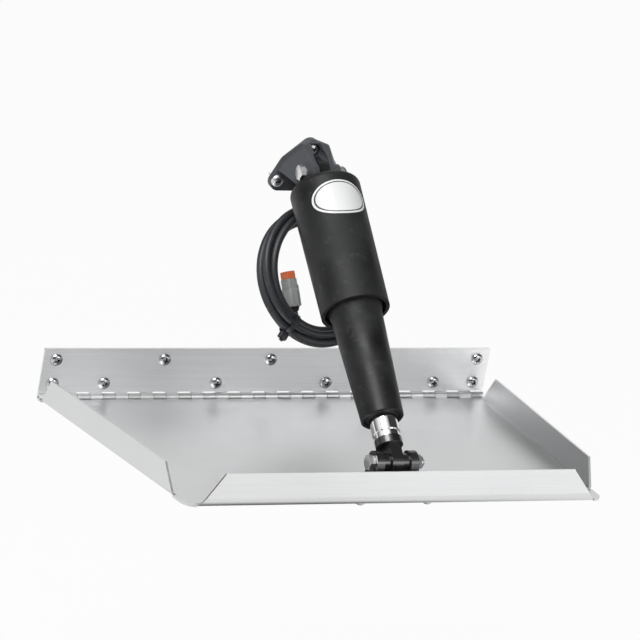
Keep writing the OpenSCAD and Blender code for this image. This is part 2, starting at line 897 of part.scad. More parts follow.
// Half section of the drafted housing, its rim on Y 0
module housing_section() {
    top_r = housing_r - housing_edge_r;
    polygon([
        [0, 0],
        [housing_r - housing_draft, 0],
        [housing_r, housing_len - housing_edge_r],
        [top_r, housing_len],
        [0, housing_len]
    ]);
    translate([top_r, housing_len - housing_edge_r]) circle(r = housing_edge_r);
}

module motor_housing() {
    color(black_plastic) difference() {
        union() {
            at_s(rim_s) rotate_extrude() housing_section();
            on_actuator() along_x(-eye_t / 2, eye_t) {
                circle(r = eye_r);
                translate([-eye_r, -housing_top - e]) square([2 * eye_r, housing_top + e]);
            }
            along_gland() translate([0, 0, cavity_r]) cylinder(r = boss_r, h = boss_out - cavity_r);
        }
        at_s(rim_s + e) cylinder(r = cavity_r, h = rim_s - motor_s + 2 * e);
        on_actuator() across(bolt_d / 2 + eye_clear, 2 * eye_t);
        along_gland() cylinder(r = gland_thread_r + fit, h = long);
    }
}

module motor() {
    end_h = 5;
    end_in = 4;
    color(dull_steel) at_s(gearbox_s) {
        cylinder(r = motor_r, h = motor_len - end_h);
        translate([0, 0, motor_len - end_h]) cylinder(r1 = motor_r, r2 = motor_r - end_in, h = end_h);
    }
}

module gearbox() {
    color(dull_steel) at_s(plug_s) difference() {
        cylinder(r = gearbox_r, h = gearbox_len);
        translate([0, 0, -e]) cylinder(r = journal_r + run_clear, h = socket_len + e);
    }
}

module lower_tube() {
    seat_r = bearing_r + fit;
    color(black_plastic) at_s(0) rotate_extrude() polygon([
        [seat_r, -plug_s],
        [plug_r, -plug_s],
        [plug_r, -ring_s + ring_groove / 2],
        [plug_r - 2 * ring_r, -ring_s + ring_groove / 2],
        [plug_r - 2 * ring_r, -ring_s - ring_groove / 2],
        [plug_r, -ring_s - ring_groove / 2],
        [plug_r, -shoulder_s],
        [shoulder_r, -shoulder_s],
        [tube_top_r, -tube_s],
        [tube_end_r, -tube_end + tube_edge],
        [tube_end_r - tube_edge, -tube_end],
        [bush_r + fit + tube_edge, -tube_end],
        [bush_r + fit, -tube_end + tube_lead_in],
        [bush_r + fit, -bush_s],
        [tube_bore_r - bush_stop, -bush_s],
        [tube_bore_r, -bush_s + bush_taper],
        [tube_bore_r, -web_s],
        [throat_r, -web_s],
        [throat_r, -plug_s - bearing_len],
        [seat_r, -plug_s - bearing_len]
    ]);
}

module housing_seal_ring() {
    color(black_rubber) at_s(ring_s) rotate_extrude() {
        translate([plug_r - ring_r, 0]) circle(r = ring_r, $fn = 32);
    }
}

module screw_bearing() {
    color(bright_steel) axis_ring(bearing_r, journal_r + run_clear, plug_s, bearing_len);
}

module guide_bush() {
    color(brass) axis_ring(bush_r, ram_r + run_clear, bush_s, bush_len);
}

module ram_seal() {
    color(black_rubber) axis_ring(bush_r, ram_r + run_clear, seal_s, seal_len);
}

module scraper_ring() {
    lip_t = 1;
    inner = ram_r + run_clear;
    color(black_rubber) at_s(scraper_s) rotate_extrude() polygon([
        [inner, 0],
        [bush_r, 0],
        [bush_r, -scraper_len],
        [inner + 2 * lip_t, -scraper_len],
        [inner + lip_t, -scraper_len - lip_t],
        [inner, -scraper_len - lip_t]
    ]);
}

// Cable, from the gland to the plug

module cable_gland() {
    color(black_plastic) along_gland() difference() {
        union() {
            translate([0, 0, cavity_r]) cylinder(r = gland_thread_r, h = boss_out - cavity_r + e);
            translate([0, 0, boss_out]) cylinder(d = gland_hex_d, h = gland_hex_h, $fn = 6);
        }
        cylinder(d = cable_d + 2 * fit, h = long);
    }
}

module gland_nut() {
    dome_h = 4;
    dome_lip = 1.5;
    squeeze = 1;
    straight = gland_nut_h - dome_h;
    color(black_plastic) along_gland() translate([0, 0, boss_out + gland_hex_h]) difference() {
        union() {
            cylinder(d = gland_nut_d, h = straight);
            translate([0, 0, straight]) cylinder(d1 = gland_nut_d, d2 = cable_d + 2 * dome_lip, h = dome_h);
        }
        translate([0, 0, -e]) cylinder(d = cable_d - squeeze, h = gland_nut_h + 2 * e);
    }
}

module cable_lead() {
    color(black_rubber) on_gland() swept_tube(lead_route, cable_d / 2);
}

module cable_coil() {
    color(black_rubber) on_coil() rotate_extrude() translate([coil_r, 0]) circle(r = bundle_r);
}

module cable_tail() {
    color(black_rubber) on_coil() swept_tube(tail_route, cable_d / 2);
}

// Tie around the bundle, its head outward and a short cut stub beyond it
module cable_tie() {
    loop_r = bundle_r + tie_gap + tie_t;
    color(black_plastic) on_coil() rotate([0, 0, tie_angle]) translate([coil_r, 0, 0]) {
        rotate([90, 0, 0]) difference() {
            cylinder(r = loop_r, h = tie_w, center = true);
            cylinder(r = loop_r - tie_t, h = 2 * tie_w, center = true);
        }
        translate([loop_r - e + tie_head[0] / 2, 0, 0]) cube(tie_head, center = true);
        translate([loop_r + tie_head[0] + tie_stub[0] / 2 - 2 * e, 0, 0]) cube(tie_stub, center = true);
    }
}

module plug_body() {
    size = plug_body_size;
    color([0.62, 0.63, 0.64]) on_plug() {
        rotate([90, 0, 0]) linear_extrude(size[1], center = true) round_rect([size[0], size[2]], 2.5);
        translate([size[0] / 2 - e, -plug_latch[1] / 2, -plug_latch[0] / 2]) {
            cube([plug_latch[2], plug_latch[1], plug_latch[0]]);
        }
    }
}

module plug_wedge() {
    size = plug_nose_size;
    wedge_r = 2;
    socket_d = 3;
    socket_h = 5;
    color([0.85, 0.28, 0.1]) on_plug() translate([0, plug_body_size[1] / 2, 0]) difference() {
        rotate([-90, 0, 0]) linear_extrude(size[1]) round_rect([size[0], size[2]], wedge_r);
        for (s = [-1, 1]) translate([s * size[0] / 4, size[1] - socket_h, 0]) rotate([-90, 0, 0]) {
            cylinder(d = socket_d, h = size[1]);
        }
    }
}

module plug_grommet() {
    color(black_rubber) on_plug() translate([0, -plug_body_size[1] / 2, 0]) rotate([90, 0, 0]) {
        cylinder(r = plug_boot_r, h = plug_boot_h);
    }
}

// Ram and its end

module ram() {
    color(bright_steel) axis_ring(ram_r, ram_bore / 2, ram_top, ferrule_s - ram_top);
}

module drive_nut() {
    color(brass) at_s(ram_top) difference() {
        union() {
            cylinder(r = ram_r, h = nut_flange_h);
            translate([0, 0, -nut_len + nut_flange_h]) cylinder(r = ram_bore / 2 - fit, h = nut_len);
        }
        translate([0, 0, -nut_len]) cylinder(r = lead_d / 2 + run_clear, h = 2 * nut_len);
    }
}

module ram_ferrule() {
    color(bright_steel) axis_ring(ferrule_d / 2, ram_bore / 2, ferrule_s, ferrule_h);
}

module ram_end() {
    spigot_r = ram_bore / 2 - fit;
    tongue_top = collar_top - collar_h;
    color(black_plastic) at_s(act_len) difference() {
        union() {
            translate([0, 0, tongue_top]) cylinder(d = collar_d, h = collar_h);
            translate([0, 0, collar_top - e]) cylinder(r = spigot_r, h = spigot_len);
            along_x(-tongue_t / 2, tongue_t) {
                circle(r = tongue_r);
                translate([-tongue_r, 0]) square([2 * tongue_r, tongue_top + e]);
            }
        }
        across(bolt_d / 2 + open_clear, 2 * tongue_t);
    }
}

module lead_screw() {
    journal_top = plug_s - socket_len + socket_gap;
    thread_s = plug_s + bearing_len + eye_side;
    color(bright_steel) {
        at_s(thread_s) cylinder(r = journal_r, h = thread_s - journal_top);
        at_s(lead_end) cylinder(d = lead_d, h = lead_end - thread_s);
    }
}

transom_plate();
hinge_pin();
plate_screws();
upper_bracket();
upper_bracket_screws();
upper_pivot_bolt();
upper_pivot_nut();
tab_blade();
lower_bracket();
lower_bracket_bolts();
lower_bracket_nuts();
lower_pivot_bolt();
lower_pivot_nut();
pivot_spacers();
motor_housing();
motor();
gearbox();
lower_tube();
housing_seal_ring();
screw_bearing();
guide_bush();
ram_seal();
scraper_ring();
cable_gland();
gland_nut();
cable_lead();
cable_coil();
cable_tail();
cable_tie();
plug_body();
plug_wedge();
plug_grommet();
ram();
drive_nut();
ram_ferrule();
ram_end();
lead_screw();
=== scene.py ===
"""Boat trim tab: finishes, fine fasteners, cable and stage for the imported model."""
import json
import math

import bmesh
import bpy
from bpy.props import FloatProperty, FloatVectorProperty, PointerProperty
from mathutils import Matrix, Vector


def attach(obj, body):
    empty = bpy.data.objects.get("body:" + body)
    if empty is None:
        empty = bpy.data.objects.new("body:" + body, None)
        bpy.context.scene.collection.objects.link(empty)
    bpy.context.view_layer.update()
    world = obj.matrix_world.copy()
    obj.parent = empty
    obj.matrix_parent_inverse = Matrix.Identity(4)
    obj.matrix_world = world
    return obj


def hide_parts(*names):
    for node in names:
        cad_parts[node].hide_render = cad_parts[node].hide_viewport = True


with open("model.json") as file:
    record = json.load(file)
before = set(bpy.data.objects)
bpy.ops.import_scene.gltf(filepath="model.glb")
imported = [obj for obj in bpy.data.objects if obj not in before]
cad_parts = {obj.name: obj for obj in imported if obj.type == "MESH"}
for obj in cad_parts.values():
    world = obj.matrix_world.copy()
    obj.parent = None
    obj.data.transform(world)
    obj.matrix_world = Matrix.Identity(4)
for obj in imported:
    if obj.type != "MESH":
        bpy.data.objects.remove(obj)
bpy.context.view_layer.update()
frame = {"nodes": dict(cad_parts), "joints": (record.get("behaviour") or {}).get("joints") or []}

bl_info = {
    "name": "Boat trim tab",
    "version": (1, 0, 0),
    "blender": (4, 5, 0),
    "location": "View3D > Sidebar > Trim tab",
    "description": "Dresses the packed trim tab with its finishes, fasteners, cable and stage",
    "category": "Object",
}

JOINTS = {j["name"]: j for j in frame["joints"]}
MM = 0.001
TAU = 2 * math.pi


# Places on the part, in millimetres and degrees


def axes(origin, x, y, z):
    """Placing matrix from an origin and three directions."""
    m = Matrix((x, y, z)).transposed().to_4x4()
    m.translation = origin
    return m


def turned(angle, axis):
    """Rotation in degrees about an axis of the place it is used in."""
    return Matrix.Rotation(math.radians(angle), 4, axis)


def shifted(x, y, z):
    """Shift along the axes of the place it is used in."""
    return Matrix.Translation((x, y, z))


HINGE = Vector(JOINTS["tab_hinge"]["pos_m"]) / MM
PIVOT = Vector(JOINTS["actuator_tilt"]["pos_m"]) / MM
DOWN = Vector(JOINTS["ram_slide"]["axis"]).normalized()
RIGHT = Vector((1, 0, 0))

TAB_REST = 6.5
LOW_PIVOT_AT = (0, -279.4, 28.5)
GLAND_TURN = 45
COIL_AT = (8, 67, -70)
COIL_TURN = 12
COIL_TIP = 112
COIL_R = 57
PLUG_AT = (-23.4, -17, -10)
PLUG_TURN = 12

ON_ACTUATOR = axes(PIVOT, RIGHT, (-DOWN).cross(RIGHT), -DOWN)
ON_BRACKET = shifted(0, 0, PIVOT.z)
ON_BLADE = shifted(*HINGE) @ turned(-TAB_REST, "X")
ON_LOW_PIVOT = ON_BLADE @ shifted(*LOW_PIVOT_AT)
ON_COIL = ON_ACTUATOR @ shifted(*COIL_AT) @ turned(COIL_TURN, "Z") @ turned(COIL_TIP, "X")
ON_GLAND = ON_ACTUATOR @ turned(-GLAND_TURN, "Z")
ON_PLUG = ON_COIL @ shifted(*PLUG_AT) @ turned(PLUG_TURN, "Z")
FROM_TRANSOM = turned(90, "X")
ALONG_X = turned(90, "Y")


def at_s(s):
    """Place on the actuator's axis, at a distance from the upper pivot."""
    return ON_ACTUATOR @ shifted(0, 0, -s)


# Sizes and colours that a user would change


class TrimTabColours(bpy.types.PropertyGroup):
    """Base colours of the finishes."""

    sheet: FloatVectorProperty(
        name="Stainless sheet", description="Plate and blade", subtype="COLOR",
        size=3, min=0, max=1, default=(0.76, 0.765, 0.77))
    fastener: FloatVectorProperty(
        name="Fasteners", description="Screws, bolts and nuts", subtype="COLOR",
        size=3, min=0, max=1, default=(0.78, 0.78, 0.79))
    housing: FloatVectorProperty(
        name="Housing", description="Motor housing and lower tube", subtype="COLOR",
        size=3, min=0, max=1, default=(0.015, 0.0155, 0.016))
    moulding: FloatVectorProperty(
        name="Mouldings", description="Upper bracket and gland", subtype="COLOR",
        size=3, min=0, max=1, default=(0.066, 0.071, 0.078))
    gloss: FloatVectorProperty(
        name="Gloss black", description="Ram end, lower bracket and spacers", subtype="COLOR",
        size=3, min=0, max=1, default=(0.016, 0.016, 0.017))
    jacket: FloatVectorProperty(
        name="Cable jacket", description="Cable and its tie", subtype="COLOR",
        size=3, min=0, max=1, default=(0.028, 0.03, 0.034))
    plug: FloatVectorProperty(
        name="Plug", description="Plug body", subtype="COLOR",
        size=3, min=0, max=1, default=(0.32, 0.33, 0.33))
    wedge: FloatVectorProperty(
        name="Plug wedge", description="Locking wedge in the plug's nose", subtype="COLOR",
        size=3, min=0, max=1, default=(0.82, 0.18, 0.06))
    badge: FloatVectorProperty(
        name="Badge", description="Blank oval on the housing", subtype="COLOR",
        size=3, min=0, max=1, default=(0.82, 0.83, 0.83))


class TrimTabSizes(bpy.types.PropertyGroup):
    """Fine sizes of the dressed pieces, in millimetres unless said otherwise."""

    cable_d: FloatProperty(
        name="Cable", description="Diameter of the cable in mm", default=7.5, min=6, max=8)
    coil_turns: FloatProperty(
        name="Turns", description="Turns of cable in the coil", default=4.08, min=3.04, max=4.12)
    screw_pitch: FloatProperty(
        name="Screw pitch", description="Pitch of the transom screws' thread in mm",
        default=2.2, min=1.4, max=3)
    bolt_pitch: FloatProperty(
        name="Bolt pitch", description="Pitch of the pivot bolts' thread in mm",
        default=1.25, min=0.8, max=2)
    badge_turn: FloatProperty(
        name="Badge turn", description="Place of the badge around the housing in degrees",
        default=-5, min=-90, max=90)
    light: FloatProperty(
        name="Light", description="Level of the studio lamps", default=1.0, min=0.1, max=3)


def colours():
    """Colour settings of the scene."""
    return bpy.context.scene.trim_tab_colours


def sizes():
    """Size settings of the scene."""
    return bpy.context.scene.trim_tab_sizes


# Building shader nodes

MIX_FACTOR, MIX_A, MIX_B, MIX_RESULT = 0, 6, 7, 2
LINE_DEPTH = 0.0002
GRAIN_DEPTH = 0.00015


def add(tree, kind, inputs=None, **props):
    """Adds a shader node with its settings, and links or sets its inputs by name or number."""
    node = tree.nodes.new("ShaderNode" + kind)
    for key, value in props.items():
        setattr(node, key, value)
    for key, value in (inputs or {}).items():
        socket = node.inputs[key]
        if isinstance(value, bpy.types.NodeSocket):
            tree.links.new(value, socket)
        else:
            socket.default_value = value
    return node


def new_group(name, inputs, outputs):
    """Empty shader node group with named inputs and outputs."""
    tree = bpy.data.node_groups.new(name, "ShaderNodeTree")
    for label, kind, value in inputs:
        socket = tree.interface.new_socket(label, in_out="INPUT", socket_type="NodeSocket" + kind)
        if value is not None:
            socket.default_value = value
    for label, kind in outputs:
        tree.interface.new_socket(label, in_out="OUTPUT", socket_type="NodeSocket" + kind)
    return tree, tree.nodes.new("NodeGroupInput").outputs, tree.nodes.new("NodeGroupOutput").inputs


def brushed_grain():
    """Fine lines along one direction, with a broad cloudiness of the sheet."""
    if "Brushed grain" in bpy.data.node_groups:
        return bpy.data.node_groups["Brushed grain"]
    tree, given, out = new_group(
        "Brushed grain",
        [("Place", "Vector", None), ("Stretch", "Vector", (8, 900, 900)), ("Cloud Size", "Float", 9.0)],
        [("Lines", "Float"), ("Cloud", "Float")])
    stretched = add(tree, "VectorMath", {0: given["Place"], 1: given["Stretch"]}, operation="MULTIPLY")
    lines = add(tree, "TexNoise", {"Vector": stretched.outputs[0], "Scale": 1.0, "Detail": 4.0,
                                   "Roughness": 0.65})
    cloud = add(tree, "TexNoise", {"Vector": given["Place"], "Scale": given["Cloud Size"], "Detail": 3.0})
    tree.links.new(lines.outputs["Fac"], out["Lines"])
    tree.links.new(cloud.outputs["Fac"], out["Cloud"])
    return tree


def moulded_grain():
    """Spark-eroded grain of a mould with broad flow marks."""
    if "Moulded grain" in bpy.data.node_groups:
        return bpy.data.node_groups["Moulded grain"]
    tree, given, out = new_group(
        "Moulded grain",
        [("Place", "Vector", None), ("Grain", "Float", 1600.0), ("Flow", "Float", 22.0)],
        [("Height", "Float"), ("Flow", "Float"), ("Scuff", "Float")])
    fine = add(tree, "TexNoise", {"Vector": given["Place"], "Scale": given["Grain"], "Detail": 3.0})
    pits = add(tree, "TexVoronoi", {"Vector": given["Place"], "Scale": given["Grain"]})
    height = reckoned(tree, "ADD", fine.outputs["Fac"], pits.outputs["Distance"])
    flow = add(tree, "TexNoise", {"Vector": given["Place"], "Scale": given["Flow"], "Detail": 4.0,
                                  "Distortion": 0.6})
    scuff = add(tree, "TexNoise", {"Vector": given["Place"], "Scale": 140.0, "Detail": 5.0,
                                   "Roughness": 0.7})
    marks = ranged(tree, scuff.outputs["Fac"], 0.0, 1.0, 0.56, 0.74)
    tree.links.new(height, out["Height"])
    tree.links.new(flow.outputs["Fac"], out["Flow"])
    tree.links.new(marks, out["Scuff"])
    return tree


def finish(name, **constants):
    """New material with a Principled shader and its constant sockets set; gives material, tree, shader."""
    mat = bpy.data.materials.new(name)
    mat.use_nodes = True
    tree = mat.node_tree
    shader = tree.nodes["Principled BSDF"]
    for key, value in constants.items():
        shader.inputs[key.replace("_", " ")].default_value = value
    return mat, tree, shader


def shaded(colour, k):
    """Colour scaled in brightness."""
    return [min(1.0, c * k) for c in colour]


def tint(colour, k):
    """Colour scaled in brightness, with alpha."""
    return shaded(colour, k) + [1.0]


def grey(tone):
    """Grey of one tone, with alpha."""
    return (tone, tone, tone, 1)


def mixed(tree, factor, a, b, blend="MIX"):
    """Colour of a and b by a factor."""
    node = add(tree, "Mix", {MIX_FACTOR: factor, MIX_A: a, MIX_B: b}, data_type="RGBA", blend_type=blend)
    return node.outputs[MIX_RESULT]


def ranged(tree, value, low, high, lowest=0.3, highest=0.7):
    """Value spread between low and high."""
    node = add(tree, "MapRange", {"Value": value, "From Min": lowest, "From Max": highest,
                                  "To Min": low, "To Max": high})
    return node.outputs[0]


def reckoned(tree, operation, a, b):
    """Result of a sum with two values."""
    return add(tree, "Math", {0: a, 1: b}, operation=operation).outputs[0]


def as_grey(tree, tone):
    """Colour with one tone in its three channels."""
    return add(tree, "CombineColor", {0: tone, 1: tone, 2: tone}).outputs[0]


def place(tree):
    """Coordinates of the piece itself."""
    return add(tree, "TexCoord").outputs["Object"]


def bump(tree, shader, height, strength, distance):
    """Bump from a height socket onto the shader's normal."""
    node = add(tree, "Bump", {"Height": height, "Strength": strength, "Distance": distance})
    tree.links.new(node.outputs[0], shader.inputs["Normal"])


def metal(name, colour, stretch, rough, contrast, dent, cloud):
    """Bare metal with grain lines along one direction."""
    mat, tree, shader = finish(name, Metallic=1.0)
    grain = add(tree, "Group", {"Place": place(tree), "Stretch": stretch, "Cloud Size": cloud},
                node_tree=brushed_grain())
    lined = mixed(tree, ranged(tree, grain.outputs["Lines"], 0, 1),
                  tint(colour, 1 - contrast), tint(colour, 1 + contrast))
    shade = as_grey(tree, ranged(tree, grain.outputs["Cloud"], 0.94, 1.0))
    cloudy = mixed(tree, 1.0, lined, shade, "MULTIPLY")
    tree.links.new(cloudy, shader.inputs["Base Color"])
    tree.links.new(ranged(tree, grain.outputs["Lines"], *rough), shader.inputs["Roughness"])
    bump(tree, shader, grain.outputs["Lines"], dent, LINE_DEPTH)
    return mat


def plastic(name, colour, rough, grain, dent, contrast=0.12, scuffs=0.25, gloss=0.45):
    """Moulded plastic or rubber with mould grain, flow marks and light scuffs."""
    mat, tree, shader = finish(name, Metallic=0.0, Specular_IOR_Level=gloss)
    mould = add(tree, "Group", {"Place": place(tree), "Grain": grain}, node_tree=moulded_grain())
    body = mixed(tree, ranged(tree, mould.outputs["Flow"], 0, 1),
                 tint(colour, 1 - contrast), tint(colour, 1 + contrast))
    amount = reckoned(tree, "MULTIPLY", mould.outputs["Scuff"], scuffs)
    worn = mixed(tree, amount, body, tint([c + 0.03 for c in colour], 1.5))
    tree.links.new(worn, shader.inputs["Base Color"])
    tree.links.new(ranged(tree, mould.outputs["Flow"], *rough), shader.inputs["Roughness"])
    bump(tree, shader, mould.outputs["Height"], dent, GRAIN_DEPTH)
    return mat


# Finishes of the part

ROLLED = {"stretch": (6, 1100, 1100), "rough": (0.35, 0.46), "contrast": 0.05, "dent": 0.05, "cloud": 7.0}
FINE_GRAIN = (700, 700, 700)
DRIVE_GRAIN = (300, 300, 300)
# The plate's sheet colour is raised by this factor as painted light.
PLATE_PAINTED_LIGHT = 1.18
# The plate screws' fastener colour is darkened by this factor as painted shade.
BRIGHT_PAINTED_SHADE = 0.72


def made(name, build, colour, **look):
    """Material by name, built the first time it is asked for."""
    return bpy.data.materials.get(name) or build(name, colour, **look)


def sheet_steel():
    """Brushed sheet of the blade."""
    return made("Brushed stainless sheet", metal, colours().sheet, **ROLLED)


def plate_steel_painted_light():
    """The same sheet painted lighter for the transom plate: painted light."""
    return made("Brushed stainless plate", metal, shaded(colours().sheet, PLATE_PAINTED_LIGHT), **ROLLED)


def bright_steel_painted_shade():
    """Bright heads of the plate's screws, their fastener colour darkened as painted shade."""
    return made("Bright stainless", metal, shaded(colours().fastener, BRIGHT_PAINTED_SHADE), stretch=FINE_GRAIN,
                rough=(0.1, 0.2), contrast=0.06, dent=0.04, cloud=60.0)


def recess_painted_shade():
    """Painted shade for the inside of a cross recess."""
    return made("Shaded recess", metal, (0.1, 0.1, 0.1), stretch=FINE_GRAIN,
                rough=(0.4, 0.6), contrast=0.1, dent=0.05, cloud=60.0)


def satin_steel():
    """Satin bolts, nuts and bracket screws."""
    return made("Satin stainless", metal, colours().fastener, stretch=FINE_GRAIN,
                rough=(0.3, 0.44), contrast=0.06, dent=0.06, cloud=60.0)


def polished_steel():
    """Polished ram and ferrule."""
    return made("Polished ram steel", metal, (0.9, 0.9, 0.91), stretch=(500, 60, 60),
                rough=(0.05, 0.11), contrast=0.03, dent=0.015, cloud=40.0)


def drive_steel():
    """Plated steel inside the actuator."""
    return made("Plated drive steel", metal, (0.5, 0.51, 0.52), stretch=DRIVE_GRAIN,
                rough=(0.3, 0.45), contrast=0.08, dent=0.05, cloud=50.0)


def pin_painted_shade():
    """Hinge pin painted dark: painted shade between the knuckles."""
    return made("Dull hinge pin", metal, (0.09, 0.09, 0.09), stretch=DRIVE_GRAIN,
                rough=(0.5, 0.65), contrast=0.1, dent=0.05, cloud=50.0)


def bronze():
    """Bronze of the guide bush and the drive nut."""
    return made("Bearing bronze", metal, (0.62, 0.43, 0.2), stretch=(400, 400, 400),
                rough=(0.28, 0.42), contrast=0.1, dent=0.05, cloud=80.0)


def housing_black():
    """Satin black of housing and lower tube, with smudges."""
    return made("Satin black housing", plastic, colours().housing, rough=(0.38, 0.66), grain=1500.0,
                dent=0.1, contrast=0.55, scuffs=0.5, gloss=0.3)


def moulding_black():
    """Grey-black moulding of the upper bracket and the gland."""
    return made("Black moulding", plastic, colours().moulding, rough=(0.38, 0.52), grain=1300.0, dent=0.14)


def gloss_black():
    """Glossy black of the ram end and the lower bracket."""
    return made("Gloss black", plastic, colours().gloss, rough=(0.2, 0.3), grain=1200.0,
                dent=0.05, contrast=0.2, scuffs=0.3, gloss=1.0)


def rubber_black():
    """Dull rubber of the seals."""
    return made("Black rubber", plastic, (0.014, 0.014, 0.014), rough=(0.55, 0.72), grain=900.0,
                dent=0.1, contrast=0.15, scuffs=0.3)


def jacket_black():
    """Jacket of the cable and its tie."""
    return made("Cable jacket", plastic, colours().jacket, rough=(0.36, 0.5), grain=700.0,
                dent=0.08, contrast=0.14, scuffs=0.3)


def plug_grey():
    """Grey shell of the plug."""
    return made("Grey plug plastic", plastic, colours().plug, rough=(0.36, 0.5), grain=1500.0,
                dent=0.1, contrast=0.06, scuffs=0.1)


def wedge_orange():
    """Orange wedge of the plug."""
    return made("Orange wedge plastic", plastic, colours().wedge, rough=(0.28, 0.4), grain=1800.0,
                dent=0.06, contrast=0.06, scuffs=0.06)


def badge_white():
    """Pale face of the badge."""
    return made("Blank badge", plastic, colours().badge, rough=(0.25, 0.34), grain=2500.0,
                dent=0.02, contrast=0.02, scuffs=0.02)


def badge_dark():
    """Dark line of the badge."""
    return made("Badge border", plastic, (0.05, 0.055, 0.06), rough=(0.25, 0.34), grain=2500.0,
                dent=0.02, contrast=0.05, scuffs=0.03)


# Building meshes, in millimetres

TIP_R = 0.01
HEX_EASE = 0.97
HEX_CHAMFER = 30
THREAD_STEPS = 6
THREAD_FLANK = 3.2
THREAD_POINT = 0.12
THREAD_LEAST_R = 0.25
EASE_SHARE = 0.3
SMOOTH_LIMIT = 32
EASED_SEGMENTS = 3
EASED_FROM = 25


def ring(r, z, sides):
    """Circle of points around Z."""
    return [(r * math.cos(TAU * k / sides), r * math.sin(TAU * k / sides), z) for k in range(sides)]


def skin(bm, at, rings, loop=False):
    """Quads between rings of points, with a cap at each end or closed into a loop."""
    rows = [[bm.verts.new(at @ Vector(p)) for p in points] for points in rings]
    pairs = list(zip(rows, rows[1:])) + ([(rows[-1], rows[0])] if loop else [])
    for a, b in pairs:
        for k in range(len(a)):
            n = (k + 1) % len(a)
            bm.faces.new((a[k], a[n], b[n], b[k]))
    if not loop:
        bm.faces.new(rows[0][::-1])
        bm.faces.new(rows[-1])


def lathe(bm, at, outline, sides=48, loop=False):
    """Turned shape from radius and height pairs, closed at its ends or into a loop."""
    skin(bm, at, [ring(r, z, sides) for r, z in outline], loop)


def hex_head(bm, at, corners, h, low=True, bore=0.0, sides=48):
    """Hexagon with rounded-off corners at the top, and at the bottom if asked, around a bore."""
    across = corners / 2 * math.cos(TAU / 12)
    flat = across * HEX_EASE
    slope = math.tan(math.radians(HEX_CHAMFER))
    angles = [TAU * k / sides for k in range(sides)]

    def edge(k):
        off = (TAU * k / sides) % (TAU / 6) - TAU / 12
        return across / math.cos(off)

    def drop(k):
        return (edge(k) - flat) * slope

    def row(radius, height):
        return [(radius(k) * math.cos(a), radius(k) * math.sin(a), height(k))
                for k, a in enumerate(angles)]

    rows = [
        row(lambda k: flat, lambda k: 0.0),
        row(edge, drop if low else (lambda k: 0.0)),
        row(edge, lambda k: h - drop(k)),
        row(lambda k: flat, lambda k: h),
    ]
    if bore:
        rows = [row(lambda k: bore, lambda k: 0.0), *rows, row(lambda k: bore, lambda k: h)]
    skin(bm, at, rows, loop=bool(bore))


def thread(bm, at, r, depth, pitch, length, sides=24, taper=0.0):
    """Helical thread along Z, fading to a point over the given taper."""
    steps = max(8, int(length / pitch * THREAD_STEPS))
    rows = []
    for i in range(steps + 1):
        z = length * i / steps
        fade = min(1.0, (length - z) / taper) if taper else 1.0
        points = []
        for k in range(sides):
            phase = (z / pitch - k / sides) % 1.0
            crest = max(0.0, 1 - abs(phase - 0.5) * THREAD_FLANK)
            full = r - depth + depth * crest
            rr = max(THREAD_LEAST_R, full * (THREAD_POINT + (1 - THREAD_POINT) * fade))
            a = TAU * k / sides
            points.append((rr * math.cos(a), rr * math.sin(a), z))
        rows.append(points)
    skin(bm, at, rows)


def rounded(w, h, r, corner=5):
    """Outline of a rounded rectangle around the middle, counter-clockwise."""
    points = []
    for q, (sx, sy) in enumerate(((1, 1), (-1, 1), (-1, -1), (1, -1))):
        for i in range(corner + 1):
            a = math.radians(90 * q + 90 * i / corner)
            points.append((sx * (w / 2 - r) + r * math.cos(a), sy * (h / 2 - r) + r * math.sin(a)))
    return points


def soft_bar(bm, at, w, h, length, r, edge):
    """Rounded bar along Z with eased ends."""
    rows = []
    step = edge * EASE_SHARE
    for z, inset in ((0, edge), (step, step), (edge, 0),
                     (length - edge, 0), (length - step, step), (length, edge)):
        outline = rounded(w - 2 * inset, h - 2 * inset, max(0.2, r - inset))
        rows.append([(x, y, z) for x, y in outline])
    skin(bm, at, rows)


def object_of(bm, name, materials, body, replaced=()):
    """Turns a mesh in millimetres into a piece that rides on a body."""
    bmesh.ops.recalc_face_normals(bm, faces=bm.faces)
    bmesh.ops.scale(bm, vec=(MM, MM, MM), verts=bm.verts)
    limit = math.radians(SMOOTH_LIMIT)
    for face in bm.faces:
        face.smooth = True
    for e in bm.edges:
        if len(e.link_faces) != 2 or e.calc_face_angle(0.0) > limit:
            e.smooth = False
    mesh = bpy.data.meshes.new(name)
    bm.to_mesh(mesh)
    bm.free()
    obj = bpy.data.objects.new(name, mesh)
    bpy.context.scene.collection.objects.link(obj)
    for mat in materials:
        mesh.materials.append(mat)
    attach(obj, body)
    if replaced:
        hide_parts(*replaced)


def dress(node, material, eased=0.0):
    """Gives a carried-over solid its finish, with its sharp edges eased by some millimetres."""
    piece = frame["nodes"][node]
    piece.data.materials.clear()
    piece.data.materials.append(material)
    if eased:
        bevel = piece.modifiers.new("eased edges", "BEVEL")
        bevel.width, bevel.segments = eased * MM, EASED_SEGMENTS
        bevel.limit_method, bevel.angle_limit = "ANGLE", math.radians(EASED_FROM)


# Fasteners, with turned outlines as radius and height pairs

PAN_TOP = 3.6
PAN_RIM = [(TIP_R, 0), (5.3, 0), (5.9, 0.25)]
PAN_DOME = [(6.0, 0.7), (5.8, 1.4), (5.3, 2.2), (4.4, 2.9), (3.1, 3.35), (1.6, 3.55), (TIP_R, PAN_TOP)]
RECESS_DEPTH = 2.3
RECESS_ARM, RECESS_WIDE = 3.0, 1.1
RECESS_REACH = 3.4
RECESS_SINK = 0.25
SCREW_NECK_R, SCREW_CORE_R, SCREW_R = 2.7, 2.1, 2.4
SCREW_SINK = 0.1
SCREW_TURN, SCREW_TURN_STEP = 17, 53
ROW_HI, ROW_LO = 37.0, 13.2
ROW_HI_PITCH = 108.0
ROW_END_X = 216.0
ROW_LO_PITCH, ROW_LO_SHIFT = 113.0, 4.5
FOOT_SCREW_X, FOOT_SCREW_DOWN, FOOT_SCREW_UP = 29.5, 18.5, 13.0


